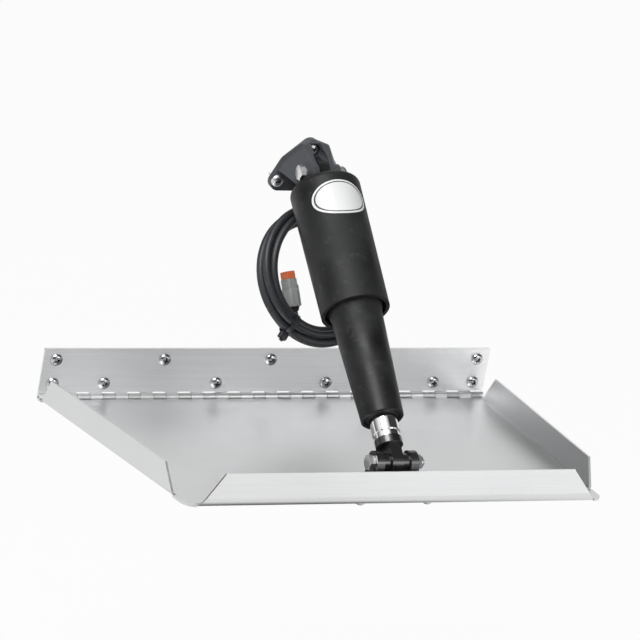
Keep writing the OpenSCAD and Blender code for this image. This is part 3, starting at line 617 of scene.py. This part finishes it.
def cross_recess(bm, at):
    """Cutter for a cross recess, pointing down from the top of a head."""
    arm, wide = RECESS_ARM, RECESS_WIDE
    top = [(wide, wide), (wide, arm), (-wide, arm), (-wide, wide), (-arm, wide), (-arm, -wide),
           (-wide, -wide), (-wide, -arm), (wide, -arm), (wide, -wide), (arm, -wide), (arm, wide)]
    rows = []
    for z, scale in ((-RECESS_DEPTH, 0.42), (0.0, 0.92), (1.5, 1.1)):
        rows.append([(x * scale, y * scale, z) for x, y in top])
    skin(bm, at, rows)


def mesh_of(bm):
    """Loose mesh data from a bmesh."""
    bmesh.ops.recalc_face_normals(bm, faces=bm.faces)
    mesh = bpy.data.meshes.new("loose")
    bm.to_mesh(mesh)
    bm.free()
    return mesh


def cut(solid, cutter):
    """First bmesh with the second taken out of it, as a new bmesh."""
    a = bpy.data.objects.new("solid", mesh_of(solid))
    b = bpy.data.objects.new("cutter", mesh_of(cutter))
    for o in (a, b):
        bpy.context.scene.collection.objects.link(o)
    mod = a.modifiers.new("cut", "BOOLEAN")
    mod.object, mod.operation, mod.solver = b, "DIFFERENCE", "EXACT"
    result = bmesh.new()
    result.from_object(a, bpy.context.evaluated_depsgraph_get())
    for o in (a, b):
        bpy.data.objects.remove(o)
    return result


def copies(bm, source, places):
    """Adds a copy of a loose mesh at each place."""
    for at in places:
        first = len(bm.verts)
        bm.from_mesh(source)
        bm.verts.ensure_lookup_table()
        bmesh.ops.transform(bm, matrix=at, verts=bm.verts[first:])


def dome_height(r):
    """Height of a pan head's dome at a radius."""
    for a, b in zip(PAN_DOME, PAN_DOME[1:]):
        if b[0] <= r <= a[0]:
            return b[1] + (a[1] - b[1]) * (r - b[0]) / (a[0] - b[0])
    return 0.0


def pan_screw(grip, length):
    """Pan-head transom screw with a cross recess, its head's underside on Z 0."""
    head = bmesh.new()
    lathe(head, Matrix(), PAN_RIM + PAN_DOME, 40)
    recess = bmesh.new()
    cross_recess(recess, shifted(0, 0, PAN_TOP))
    body = cut(head, recess)
    # Faces inside the cross recess take the second material, painted shade.
    for face in body.faces:
        middle = face.calc_center_median()
        r = math.hypot(middle.x, middle.y)
        face.material_index = int(r < RECESS_REACH and middle.z < dome_height(r) - RECESS_SINK)
    lathe(body, Matrix(), [(TIP_R, SCREW_SINK), (SCREW_NECK_R, SCREW_SINK), (SCREW_NECK_R, -grip),
                           (SCREW_CORE_R, -grip), (TIP_R, -grip)], 32)
    down = turned(180, "X")
    down.translation = (0, 0, -grip)
    thread(body, down, SCREW_R, depth=0.75, pitch=sizes().screw_pitch, length=length, sides=20, taper=6.0)
    return mesh_of(body)


class TRIMTAB_OT_screws(bpy.types.Operator):
    """Pan-head screws of the transom plate and of the upper bracket"""

    bl_idname = "trimtab.screws"
    bl_label = "Transom screws"

    def execute(self, context):
        row_hi, row_lo = HINGE.z + ROW_HI, HINGE.z + ROW_LO
        plate = [(i * ROW_HI_PITCH, row_hi) for i in range(-2, 3)]
        plate += [(side * ROW_END_X, row_lo) for side in (-1, 1)]
        plate += [(ROW_LO_SHIFT + ROW_LO_PITCH * i, row_lo) for i in (-1.5, -0.5, 0.5, 1.5)]
        foot = [(-FOOT_SCREW_X, -FOOT_SCREW_DOWN), (FOOT_SCREW_X, -FOOT_SCREW_DOWN), (0.0, FOOT_SCREW_UP)]
        for name, node, steel, grip, length, base, spots in (
                ("plate_screw_set", "plate_screws", bright_steel_painted_shade(), 2.0, 20.0, Matrix(), plate),
                ("bracket_screw_set", "upper_bracket_screws", satin_steel(), 7.0, 12.0, ON_BRACKET, foot)):
            one = pan_screw(grip, length)
            bm = bmesh.new()
            places = []
            for i, (x, z) in enumerate(spots):
                turn = turned(SCREW_TURN + SCREW_TURN_STEP * i, "Z")
                places.append(base @ shifted(x, -grip, z) @ FROM_TRANSOM @ turn)
            copies(bm, one, places)
            bpy.data.meshes.remove(one)
            object_of(bm, name, [steel, recess_painted_shade()], "transom", (node,))
        return {"FINISHED"}


BOLT_R, BOLT_END_R = 4.0, 3.7
BOLT_CORNERS = 15.0
BOLT_TAIL = 9.5
BOLT_TURN, NUT_TURN = 20, 8
WASHER_R, WASHER_T = 6.6, 0.5
HEX_H = 5.0
BOLT_POINT = [(TIP_R, 0), (3.45, 0), (3.4, 0.5), (2.9, 1.1), (TIP_R, 1.1)]
NUT_BORE, NUT_HEX_H = 4.05, 4.9
NUT_COLLAR = [(NUT_BORE, 4.6), (6.2, 4.6), (6.2, 5.9), (5.7, 6.7), (5.0, 7.0), (NUT_BORE, 7.0)]
UPPER_GRIP, LOWER_GRIP = 34.0, 41.0


def hex_bolt(bm, at, grip, tail):
    """Hex-head pivot bolt along X, head on the left, its threaded end past the nut."""
    left = at @ shifted(-grip / 2, 0, 0)
    start = left @ ALONG_X
    head = left @ turned(-90, "Y")
    lathe(bm, head, [(TIP_R, 0), (WASHER_R, 0), (WASHER_R, WASHER_T), (TIP_R, WASHER_T)], 40)
    hex_head(bm, head @ shifted(0, 0, WASHER_T), BOLT_CORNERS, HEX_H, low=False)
    lathe(bm, start, [(TIP_R, 0), (BOLT_R, 0), (BOLT_R, grip - 1), (BOLT_END_R, grip), (TIP_R, grip)], 40)
    thread(bm, start @ shifted(0, 0, grip - 0.5), r=3.98, depth=0.55,
           pitch=sizes().bolt_pitch, length=tail - 1.0)
    lathe(bm, start @ shifted(0, 0, grip + tail - 1.6), BOLT_POINT, 24)


def lock_nut(bm, at, grip):
    """Lock nut on the right of the grip, with its collar."""
    start = at @ shifted(grip / 2, 0, 0) @ ALONG_X
    hex_head(bm, start, BOLT_CORNERS, NUT_HEX_H, bore=NUT_BORE)
    lathe(bm, start, NUT_COLLAR, 40, loop=True)


LOW_BOLT_X = 33.0
LOW_BOLT_ROWS = (290.1, 260.1)
BLADE_UNDER = -3.3
LOW_BOLT_GRIP = 8.0
LOW_HEAD = [(TIP_R, 0), (4.5, 0), (4.75, 0.4), (4.6, 1.6), (3.9, 2.8), (2.6, 3.6), (1.2, 3.95), (TIP_R, 4.0)]
LOW_SHANK = [(TIP_R, 0), (2.5, 0), (2.5, LOW_BOLT_GRIP), (2.3, 8.2), (TIP_R, 8.2)]
LOW_NUT_CORNERS, LOW_NUT_H, LOW_NUT_BORE = 9.5, 4.5, 2.55
LOW_NUT_TURN = 25


class TRIMTAB_OT_bolts(bpy.types.Operator):
    """Pivot bolts, lock nuts and the lower bracket's bolts and nuts"""

    bl_idname = "trimtab.bolts"
    bl_label = "Bolts and nuts"

    def execute(self, context):
        steel = [satin_steel()]
        for label, at, grip, body in (("upper", ON_ACTUATOR, UPPER_GRIP, "transom"),
                                      ("lower", ON_LOW_PIVOT, LOWER_GRIP, "tab")):
            bm = bmesh.new()
            hex_bolt(bm, at @ turned(BOLT_TURN, "X"), grip, BOLT_TAIL)
            object_of(bm, label + "_hex_bolt", steel, body, (label + "_pivot_bolt",))
            bm = bmesh.new()
            lock_nut(bm, at @ turned(NUT_TURN, "X"), grip)
            object_of(bm, label + "_lock_nut", steel, body, (label + "_pivot_nut",))
        spots = [(x, -y) for x in (-LOW_BOLT_X, LOW_BOLT_X) for y in LOW_BOLT_ROWS]
        heads, nuts = bmesh.new(), bmesh.new()
        for i, (x, y) in enumerate(spots):
            under = ON_BLADE @ shifted(x, y, BLADE_UNDER)
            above = under @ shifted(0, 0, LOW_BOLT_GRIP)
            lathe(heads, under @ turned(180, "X"), LOW_HEAD, 32)
            lathe(heads, under, LOW_SHANK, 24)
            thread(heads, above, r=2.48, depth=0.4, pitch=0.8, length=5.4, sides=20)
            hex_head(nuts, above @ turned(LOW_NUT_TURN * i, "Z"), LOW_NUT_CORNERS, LOW_NUT_H,
                     bore=LOW_NUT_BORE)
        object_of(heads, "bracket_bolt_set", steel, "tab", ("lower_bracket_bolts",))
        object_of(nuts, "bracket_nut_set", steel, "tab", ("lower_bracket_nuts",))
        return {"FINISHED"}


# Sheet metal and brackets


class TRIMTAB_OT_sheet(bpy.types.Operator):
    """Brushed transom plate painted lighter and blade, with the hinge pin painted dark as shade between the
    knuckles
    """

    bl_idname = "trimtab.sheet"
    bl_label = "Plate, blade and hinge"

    def execute(self, context):
        # The plate gets the blade's sheet painted lighter, as painted light.
        dress("transom_plate", plate_steel_painted_light())
        dress("tab_blade", sheet_steel())
        # The hinge pin is painted dark as the shade seen between the knuckles.
        dress("hinge_pin", pin_painted_shade())
        return {"FINISHED"}


class TRIMTAB_OT_brackets(bpy.types.Operator):
    """Moulded upper and lower brackets with the pivot spacers"""

    bl_idname = "trimtab.brackets"
    bl_label = "Brackets"

    def execute(self, context):
        dress("upper_bracket", moulding_black(), eased=1.2)
        dress("lower_bracket", gloss_black(), eased=0.8)
        dress("pivot_spacers", gloss_black(), eased=0.4)
        return {"FINISHED"}


# Actuator

HOUSING_R, HOUSING_DRAFT = 32.75, 1.1
DRAFT_FROM, DRAFT_LEN = 21, 127
BADGE_S = 45.0
BADGE_SIDES = 72
BADGE_STEPS = 6
BADGE_SKIRT = 1.004
JOURNAL_S = 135.3
JOURNAL = [(TIP_R, 22.2), (4.6, 22.2), (5.0, 21.8), (5.0, 0), (TIP_R, 0)]
LEAD_S, LEAD_LEN, LEAD_R, LEAD_PITCH = 240, 104.7, 6.0, 4.0


def badge_spot(half_turn, half_len, a, k, out):
    """Point of an oval on the housing, at an angle and a share of its size, some way off the wall."""
    along = BADGE_S + half_len * k * math.sin(a)
    angle = math.radians(sizes().badge_turn) + math.radians(half_turn) * k * math.cos(a)
    r = HOUSING_R - HOUSING_DRAFT * max(0.0, along - DRAFT_FROM) / DRAFT_LEN + out
    return ON_ACTUATOR @ Vector((r * math.sin(angle), -r * math.cos(angle), -along))


def badge_patch(bm, half_turn, half_len, proud, inner, slot):
    """Oval patch on the housing, solid or as a border around an inner share."""
    def row(k, out):
        return [bm.verts.new(badge_spot(half_turn, half_len, TAU * n / BADGE_SIDES, k, out))
                for n in range(BADGE_SIDES)]

    shares = [inner + (1 - inner) * i / BADGE_STEPS for i in range(BADGE_STEPS + 1)]
    rows = [row(k, proud) for k in shares if k > 0]
    rows.append(row(BADGE_SKIRT, 0.0))
    faces = []
    for a, b in zip(rows, rows[1:]):
        for n in range(BADGE_SIDES):
            after = (n + 1) % BADGE_SIDES
            faces.append(bm.faces.new((a[n], b[n], b[after], a[after])))
    if not inner:
        faces.append(bm.faces.new(rows[0]))
    for face in faces:
        face.material_index = slot


class TRIMTAB_OT_housing(bpy.types.Operator):
    """Motor housing, lower tube, gland, seals and the blank badge"""

    bl_idname = "trimtab.housing"
    bl_label = "Actuator housing"

    def execute(self, context):
        for node in ("motor_housing", "lower_tube"):
            dress(node, housing_black())
        for node in ("cable_gland", "gland_nut"):
            dress(node, moulding_black())
        for node in ("housing_seal_ring", "ram_seal", "scraper_ring"):
            dress(node, rubber_black())
        bm = bmesh.new()
        badge_patch(bm, half_turn=50.0, half_len=17.8, proud=0.12, inner=0.0, slot=0)
        badge_patch(bm, half_turn=46.0, half_len=16.0, proud=0.2, inner=0.94, slot=1)
        object_of(bm, "blank_badge", [badge_white(), badge_dark()], "actuator", ())
        return {"FINISHED"}


class TRIMTAB_OT_ram(bpy.types.Operator):
    """Polished ram, ferrule and ram end"""

    bl_idname = "trimtab.ram"
    bl_label = "Ram"

    def execute(self, context):
        dress("ram", polished_steel())
        dress("ram_ferrule", polished_steel())
        dress("ram_end", gloss_black(), eased=0.6)
        return {"FINISHED"}


class TRIMTAB_OT_drive(bpy.types.Operator):
    """Drive inside the housing: motor, gearbox, bearing, bush, nut and lead screw"""

    bl_idname = "trimtab.drive"
    bl_label = "Drive"

    def execute(self, context):
        for node in ("motor", "gearbox", "screw_bearing"):
            dress(node, drive_steel())
        for node in ("guide_bush", "drive_nut"):
            dress(node, bronze())
        bm = bmesh.new()
        lathe(bm, at_s(JOURNAL_S), JOURNAL, 32)
        thread(bm, at_s(LEAD_S), LEAD_R, depth=1.6, pitch=LEAD_PITCH, length=LEAD_LEN, sides=28)
        object_of(bm, "lead_screw_thread", [drive_steel()], "screw", ("lead_screw",))
        return {"FINISHED"}


# Cable, tie and plug

STRAND_R = 6.42
STRAND_FROM = 10
STRAND_SWING_FROM, STRAND_SWING = 90, 216
CABLE_START = (0, 49.25, -30)
CABLE_ENDS = ((0, -17, 0), (0, -15, 0))
CABLE_STEP = 3.0
CURVE_STEPS = 12
BEND_POINTS = 8
TURN_POINTS = 20
TIE_TURN = -123
TIE_TEETH = 64
TIE_RIB = 0.16


def smooth_path(points, step):
    """Points a step apart on a smooth curve through the given ones."""
    pts = [points[0] * 2 - points[1]] + list(points) + [points[-1] * 2 - points[-2]]
    fine = []
    for p0, p1, p2, p3 in zip(pts, pts[1:], pts[2:], pts[3:]):
        t1 = (p1 - p0).length ** 0.5
        t2 = t1 + (p2 - p1).length ** 0.5
        t3 = t2 + (p3 - p2).length ** 0.5
        for i in range(CURVE_STEPS):
            t = t1 + (t2 - t1) * i / CURVE_STEPS
            a1 = p0 * ((t1 - t) / t1) + p1 * (t / t1)
            a2 = p1 * ((t2 - t) / (t2 - t1)) + p2 * ((t - t1) / (t2 - t1))
            a3 = p2 * ((t3 - t) / (t3 - t2)) + p3 * ((t - t2) / (t3 - t2))
            b1 = a1 * ((t2 - t) / t2) + a2 * (t / t2)
            b2 = a2 * ((t3 - t) / (t3 - t1)) + a3 * ((t - t1) / (t3 - t1))
            fine.append(b1 * ((t2 - t) / (t2 - t1)) + b2 * ((t - t1) / (t2 - t1)))
    fine.append(points[-1])
    path, left = [fine[0]], step
    for a, b in zip(fine, fine[1:]):
        run = (b - a).length
        while run >= left:
            a = a + (b - a) * (left / run)
            run = (b - a).length
            path.append(a)
            left = step
        left -= run
    path[-1] = fine[-1]
    return path


def strand(done):
    """Place of the cable in the coil after some turns, the strands twisting round each other."""
    a = math.radians(STRAND_FROM - 360 * done)
    b = math.radians(STRAND_SWING_FROM - STRAND_SWING * done)
    r = COIL_R + STRAND_R * math.cos(b)
    return ON_COIL @ Vector((r * math.cos(a), r * math.sin(a), STRAND_R * math.sin(b)))


def bend(a, leave, b, arrive):
    """Points of a smooth bend from a to b, leaving and arriving along the given handles."""
    c, d = a + leave, b - arrive
    spots = []
    for i in range(BEND_POINTS):
        t = i / (BEND_POINTS - 1)
        spots.append(a * (1 - t) ** 3 + c * 3 * t * (1 - t) ** 2 + d * 3 * t * t * (1 - t) + b * t ** 3)
    return spots


def cable_route():
    """Route of the cable from the gland, round the coil and to the plug, in the part's frame."""
    turns, step = sizes().coil_turns, 0.002
    ahead, behind = Vector((0, 1, 0)), ON_COIL.to_3x3() @ Vector((0, 0, -1))
    out = ON_GLAND.to_3x3() @ ahead
    into = ON_PLUG.to_3x3() @ ahead
    start = (strand(step) - strand(0)).normalized()
    stop = (strand(turns) - strand(turns - step)).normalized()
    arrival, end = (ON_PLUG @ Vector(spot) for spot in CABLE_ENDS)
    count = int(turns * TURN_POINTS)
    route = bend(ON_GLAND @ Vector(CABLE_START), 24 * out, strand(0), 20 * start)
    route += [strand(turns * i / count) for i in range(1, count)]
    route += bend(strand(turns), 60 * stop + 6 * behind, arrival, 30 * into - 4 * behind)
    route.append(end)
    return route


class TRIMTAB_OT_cable(bpy.types.Operator):
    """Cable in one length, from the gland round the coil to the plug"""

    bl_idname = "trimtab.cable"
    bl_label = "Cable"

    def execute(self, context):
        path = [p * MM for p in smooth_path(cable_route(), CABLE_STEP)]
        curve = bpy.data.curves.new("cable", "CURVE")
        curve.dimensions = "3D"
        curve.bevel_depth = sizes().cable_d / 2 * MM
        curve.bevel_resolution = 5
        curve.use_fill_caps = True
        spline = curve.splines.new("POLY")
        spline.points.add(len(path) - 1)
        for point, p in zip(spline.points, path):
            point.co = (*p, 1)
        spline.use_smooth = True
        curve.materials.append(jacket_black())
        obj = bpy.data.objects.new("cable", curve)
        context.scene.collection.objects.link(obj)
        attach(obj, "actuator")
        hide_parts("cable_lead", "cable_coil", "cable_tail")
        return {"FINISHED"}


class TRIMTAB_OT_tie(bpy.types.Operator):
    """Cable tie around the coil, with its head and cut end"""

    bl_idname = "trimtab.tie"
    bl_label = "Cable tie"

    def execute(self, context):
        at = ON_COIL @ turned(TIE_TURN, "Z") @ shifted(COIL_R, 0, 0)
        bm = bmesh.new()
        rows = []
        for k in range(TIE_TEETH):
            a = TAU * k / TIE_TEETH
            rib = TIE_RIB if k % 2 else 0.0
            rows.append([(r * math.cos(a), y, r * math.sin(a)) for r, y in (
                (10.35, -2.3), (10.35, 2.3), (11.3 - rib, 2.4), (11.45 - rib, 1.6),
                (11.45 - rib, -1.6), (11.3 - rib, -2.4))])
        skin(bm, at, rows, loop=True)
        head = at @ shifted(11.2, 0, 0) @ ALONG_X
        soft_bar(bm, head, w=6.0, h=8.0, length=6.2, r=1.0, edge=0.7)
        soft_bar(bm, head @ shifted(0, 0, 6.0), w=1.4, h=3.6, length=2.6, r=0.5, edge=0.3)
        soft_bar(bm, head @ shifted(0.75, 0, 6.6), w=0.5, h=2.6, length=0.8, r=0.2, edge=0.15)
        object_of(bm, "tie_strap", [jacket_black()], "actuator", ("cable_tie",))
        return {"FINISHED"}


PLUG_SLIM = 0.9
PLUG_REAR = -17
PLUG_RIB_X, PLUG_RIB_Y = 3.4, 7.6
LATCH_RIDGES = (-4.4, -2.4, -0.4)
SOCKET_X, WEDGE_RIB_X = 2.75, 5.3
SOCKET_RIM = [(1.5, 0), (2.3, 0), (2.3, 0.45), (2.0, 0.6), (1.5, 0.6)]
PLUG_SEAL = [(3.8, 0), (4.6, 0), (5.1, 0.3), (5.1, 0.7), (4.7, 0.9), (4.7, 1.2), (5.6, 1.5), (5.6, 1.9),
             (5.2, 2.1), (5.2, 2.5), (6.0, 2.8), (6.0, 4.0), (3.8, 4.0)]


def plug_shell(bm, along):
    """Grey shell: body, front collar, ribs, and the latch with its root and ridges."""
    soft_bar(bm, along @ shifted(0, 0, -13), w=13.0, h=16.0, length=17.0, r=2.5, edge=0.8)
    soft_bar(bm, along @ shifted(0, 0, 3.4), w=11.6, h=14.6, length=9.6, r=2.2, edge=0.6)
    for x in (-PLUG_RIB_X, PLUG_RIB_X):
        for y in (-PLUG_RIB_Y, PLUG_RIB_Y):
            soft_bar(bm, along @ shifted(x, y, -11.5), w=1.6, h=0.8, length=13.5, r=0.3, edge=0.3)
    soft_bar(bm, along @ shifted(8.3, 0, -7), w=2.2, h=6.0, length=14.0, r=0.7, edge=0.5)
    soft_bar(bm, along @ shifted(6.8, 0, -1.5), w=2.4, h=4.4, length=3.0, r=0.5, edge=0.4)
    for z in LATCH_RIDGES:
        soft_bar(bm, along @ shifted(8.7, 0, z), w=1.4, h=5.4, length=1.0, r=0.4, edge=0.25)


def plug_nose(bm, along):
    """Orange wedge with the rims of its two sockets and a rib on each side."""
    soft_bar(bm, along @ shifted(0, 0, 12.9), w=11.0, h=13.0, length=7.1, r=2.0, edge=0.7)
    for side in (-1, 1):
        lathe(bm, along @ shifted(side * SOCKET_X, 0, 19.4), SOCKET_RIM, 28, loop=True)
        soft_bar(bm, along @ shifted(side * WEDGE_RIB_X, 0, 13.4), w=0.5, h=5.0, length=4.6, r=0.2, edge=0.2)


class TRIMTAB_OT_plug(bpy.types.Operator):
    """Two-way plug with its grey shell, orange wedge and rear seal"""

    bl_idname = "trimtab.plug"
    bl_label = "Plug"

    def execute(self, context):
        axis = ON_PLUG @ turned(-90, "X")
        along = axis @ Matrix.Diagonal((PLUG_SLIM, PLUG_SLIM, 1, 1))
        bm = bmesh.new()
        plug_shell(bm, along)
        object_of(bm, "plug_shell", [plug_grey()], "actuator", ("plug_body",))
        bm = bmesh.new()
        plug_nose(bm, along)
        object_of(bm, "plug_nose", [wedge_orange()], "actuator", ("plug_wedge",))
        bm = bmesh.new()
        lathe(bm, axis @ shifted(0, 0, PLUG_REAR), PLUG_SEAL, 36, loop=True)
        object_of(bm, "plug_seal", [rubber_black()], "actuator", ("plug_grommet",))
        return {"FINISHED"}


# Stage: the camera's lens and place in millimetres and degrees, the rest in metres

LENS, SENSOR = 277.8, 36.0
CAMERA_YAW, CAMERA_PITCH, CAMERA_ROLL = 27.14, 21.20, 10.63
CAMERA_AIM = (0, -123.3, 56)
CAMERA_AWAY, CAMERA_LEFT, CAMERA_UP = 4500, 8.5, 45.9
CAMERA_SEES = 50.0

# Dark flats around the part: direction, tone, and the cosines at which each begins and is full
DARK_FLATS = (
    ((0.72, 0.05, 0.69), 0.05, 0.68, 0.86),
    ((-0.5, 0.83, 0.24), 0.05, 0.68, 0.88),
    ((-0.52, -0.84, 0.15), 0.08, 0.7, 0.9),
    ((0.42, -0.62, 0.66), 0.6, 0.9, 0.97),
)
SOFT_LEVEL, MIRROR_LEVEL = 0.4, 0.95
MIDDLE, LOWER_MIDDLE = (0, -0.12, 0.05), (0, -0.2, 0.05)
FLOOR_HALF, FLOOR_Z = 12.0, -0.36
FLOOR_GLOW = 0.95
# Painted shade under the part, seen by glossy rays only: its middle, the distances over which it fades, and
# its grey.
SHADE_AT, SHADE_FROM, SHADE_TO = (0, -0.14, FLOOR_Z), 0.18, 0.42
SHADE_TONE = 0.15


def photo_camera(scene):
    """Camera with a long lens, at the photo's angles."""
    data = bpy.data.cameras.new("photo view")
    data.sensor_width = data.sensor_height = SENSOR
    data.lens = LENS
    data.clip_end = CAMERA_SEES
    camera = bpy.data.objects.new("photo view", data)
    yaw, pitch, roll = (math.radians(v) for v in (CAMERA_YAW, CAMERA_PITCH, CAMERA_ROLL))
    ahead = Vector((math.sin(yaw) * math.cos(pitch), math.cos(yaw) * math.cos(pitch), -math.sin(pitch)))
    level = Vector((math.cos(yaw), -math.sin(yaw), 0))
    rise = level.cross(ahead)
    right = math.cos(roll) * level + math.sin(roll) * rise
    up = -math.sin(roll) * level + math.cos(roll) * rise
    spot = -ahead * CAMERA_AWAY + Vector(CAMERA_AIM) - CAMERA_LEFT * right + CAMERA_UP * up
    camera.matrix_world = axes(spot * MM, right, up, -ahead)
    scene.collection.objects.link(camera)
    scene.camera = camera


def studio_room(scene):
    """White surroundings, with dark flats for the metal to mirror."""
    world = bpy.data.worlds.new("studio")
    world.use_nodes = True
    scene.world = world
    tree = world.node_tree
    tree.nodes.clear()
    way = add(tree, "TexCoord").outputs["Generated"]
    tone = None
    for facing, least, begin, full in DARK_FLATS:
        turn = add(tree, "VectorMath", {0: way, 1: facing}, operation="DOT_PRODUCT").outputs["Value"]
        flat = ranged(tree, turn, 1.0, least, begin, full)
        tone = reckoned(tree, "MULTIPLY", tone, flat) if tone else flat
    room = as_grey(tree, tone)
    soft = add(tree, "Background", {"Color": room, "Strength": SOFT_LEVEL}).outputs[0]
    mirrored = add(tree, "Background", {"Color": room, "Strength": MIRROR_LEVEL}).outputs[0]
    white = add(tree, "Background", {"Color": grey(1), "Strength": 1.0}).outputs[0]
    path = add(tree, "LightPath").outputs
    inner = add(tree, "MixShader", {0: path["Is Glossy Ray"], 1: soft, 2: mirrored}).outputs[0]
    clear = reckoned(tree, "MAXIMUM", path["Is Camera Ray"], path["Is Transmission Ray"])
    both = add(tree, "MixShader", {0: clear, 1: inner, 2: white}).outputs[0]
    add(tree, "OutputWorld", {"Surface": both})


def area_lamp(name, spot, aim, size, power):
    """Soft square lamp, placed and aimed in metres."""
    data = bpy.data.lights.new(name, "AREA")
    data.shape, data.size, data.energy = "SQUARE", size, power * sizes().light
    lamp = bpy.data.objects.new(name, data)
    lamp.location = spot
    lamp.rotation_euler = (Vector(aim) - Vector(spot)).to_track_quat("-Z", "Y").to_euler()
    bpy.context.scene.collection.objects.link(lamp)
    return lamp


def pale_floor(scene):
    """Pale floor that keeps the part's shadow; under the part, glossy rays lose its glow and see it painted
    grey, painted shade for the metal to mirror.
    """
    bm = bmesh.new()
    for x, y in ((-1, -1), (1, -1), (1, 1), (-1, 1)):
        bm.verts.new((x * FLOOR_HALF, y * FLOOR_HALF, FLOOR_Z))
    bm.faces.new(bm.verts[:])
    mesh = bpy.data.meshes.new("floor")
    bm.to_mesh(mesh)
    bm.free()
    floor = bpy.data.objects.new("floor", mesh)
    scene.collection.objects.link(floor)
    mat, tree, shader = finish("Pale floor", Roughness=0.9)
    speck = add(tree, "TexNoise", {"Vector": place(tree), "Scale": 40.0})
    pale = mixed(tree, speck.outputs["Fac"], grey(0.9), grey(0.93))
    glow = add(tree, "Emission", {"Color": grey(1), "Strength": 1.0}).outputs[0]
    path = add(tree, "LightPath").outputs
    off = add(tree, "VectorMath", {0: place(tree), 1: SHADE_AT}, operation="DISTANCE").outputs["Value"]
    open_floor = ranged(tree, off, 0.0, 1.0, SHADE_FROM, SHADE_TO)
    bright = reckoned(tree, "MULTIPLY", path["Is Glossy Ray"], open_floor)
    # Under the part the floor's base colour is painted grey for glossy rays: painted shade.
    dim = reckoned(tree, "SUBTRACT", path["Is Glossy Ray"], bright)
    tree.links.new(mixed(tree, dim, pale, grey(SHADE_TONE)), shader.inputs["Base Color"])
    shown = reckoned(tree, "MAXIMUM", path["Is Camera Ray"], bright)
    shown = reckoned(tree, "MAXIMUM", shown, path["Is Transmission Ray"])
    share = reckoned(tree, "MULTIPLY", shown, FLOOR_GLOW)
    both = add(tree, "MixShader", {0: share, 1: shader.outputs[0], 2: glow}).outputs[0]
    tree.links.new(both, tree.nodes["Material Output"].inputs["Surface"])
    mesh.materials.append(mat)


class TRIMTAB_OT_stage(bpy.types.Operator):
    """Camera, soft lamps, white surroundings and pale floor"""

    bl_idname = "trimtab.stage"
    bl_label = "Stage"

    def execute(self, context):
        scene = context.scene
        scene.view_settings.view_transform = "Standard"
        photo_camera(scene)
        studio_room(scene)
        area_lamp("key lamp", (-0.9, -0.7, 1.8), MIDDLE, size=1.1, power=30)
        area_lamp("front lamp", (-1.2, -1.9, 0.7), MIDDLE, size=1.2, power=9).visible_glossy = False
        area_lamp("fill lamp", (1.0, -2.1, 0.72), LOWER_MIDDLE, size=0.7, power=4.5)
        pale_floor(scene)
        return {"FINISHED"}


class TRIMTAB_PT_panel(bpy.types.Panel):
    """Steps that dress the trim tab"""

    bl_label = "Trim tab"
    bl_idname = "TRIMTAB_PT_panel"
    bl_space_type = "VIEW_3D"
    bl_region_type = "UI"
    bl_category = "Trim tab"

    def draw(self, context):
        for cls in STEPS:
            self.layout.operator(cls.bl_idname)
        for group in (colours(), sizes()):
            for key in group.bl_rna.properties.keys():
                if key not in ("rna_type", "name"):
                    self.layout.prop(group, key)


STEPS = (
    TRIMTAB_OT_stage, TRIMTAB_OT_sheet, TRIMTAB_OT_brackets, TRIMTAB_OT_screws, TRIMTAB_OT_bolts,
    TRIMTAB_OT_housing, TRIMTAB_OT_ram, TRIMTAB_OT_drive, TRIMTAB_OT_tie, TRIMTAB_OT_plug, TRIMTAB_OT_cable,
)
CLASSES = (TrimTabColours, TrimTabSizes, *STEPS, TRIMTAB_PT_panel)


def register():
    """Registers the settings, the steps and the panel."""
    for cls in CLASSES:
        bpy.utils.register_class(cls)
    bpy.types.Scene.trim_tab_colours = PointerProperty(type=TrimTabColours)
    bpy.types.Scene.trim_tab_sizes = PointerProperty(type=TrimTabSizes)


def unregister():
    """Takes the settings, the steps and the panel away again."""
    del bpy.types.Scene.trim_tab_sizes
    del bpy.types.Scene.trim_tab_colours
    for cls in reversed(CLASSES):
        bpy.utils.unregister_class(cls)


def main():
    register()
    for step in (bpy.ops.trimtab.stage, bpy.ops.trimtab.sheet, bpy.ops.trimtab.brackets,
                 bpy.ops.trimtab.screws, bpy.ops.trimtab.bolts, bpy.ops.trimtab.housing,
                 bpy.ops.trimtab.ram, bpy.ops.trimtab.drive, bpy.ops.trimtab.tie,
                 bpy.ops.trimtab.plug, bpy.ops.trimtab.cable):
        step()


if __name__ == "__main__":
    main()
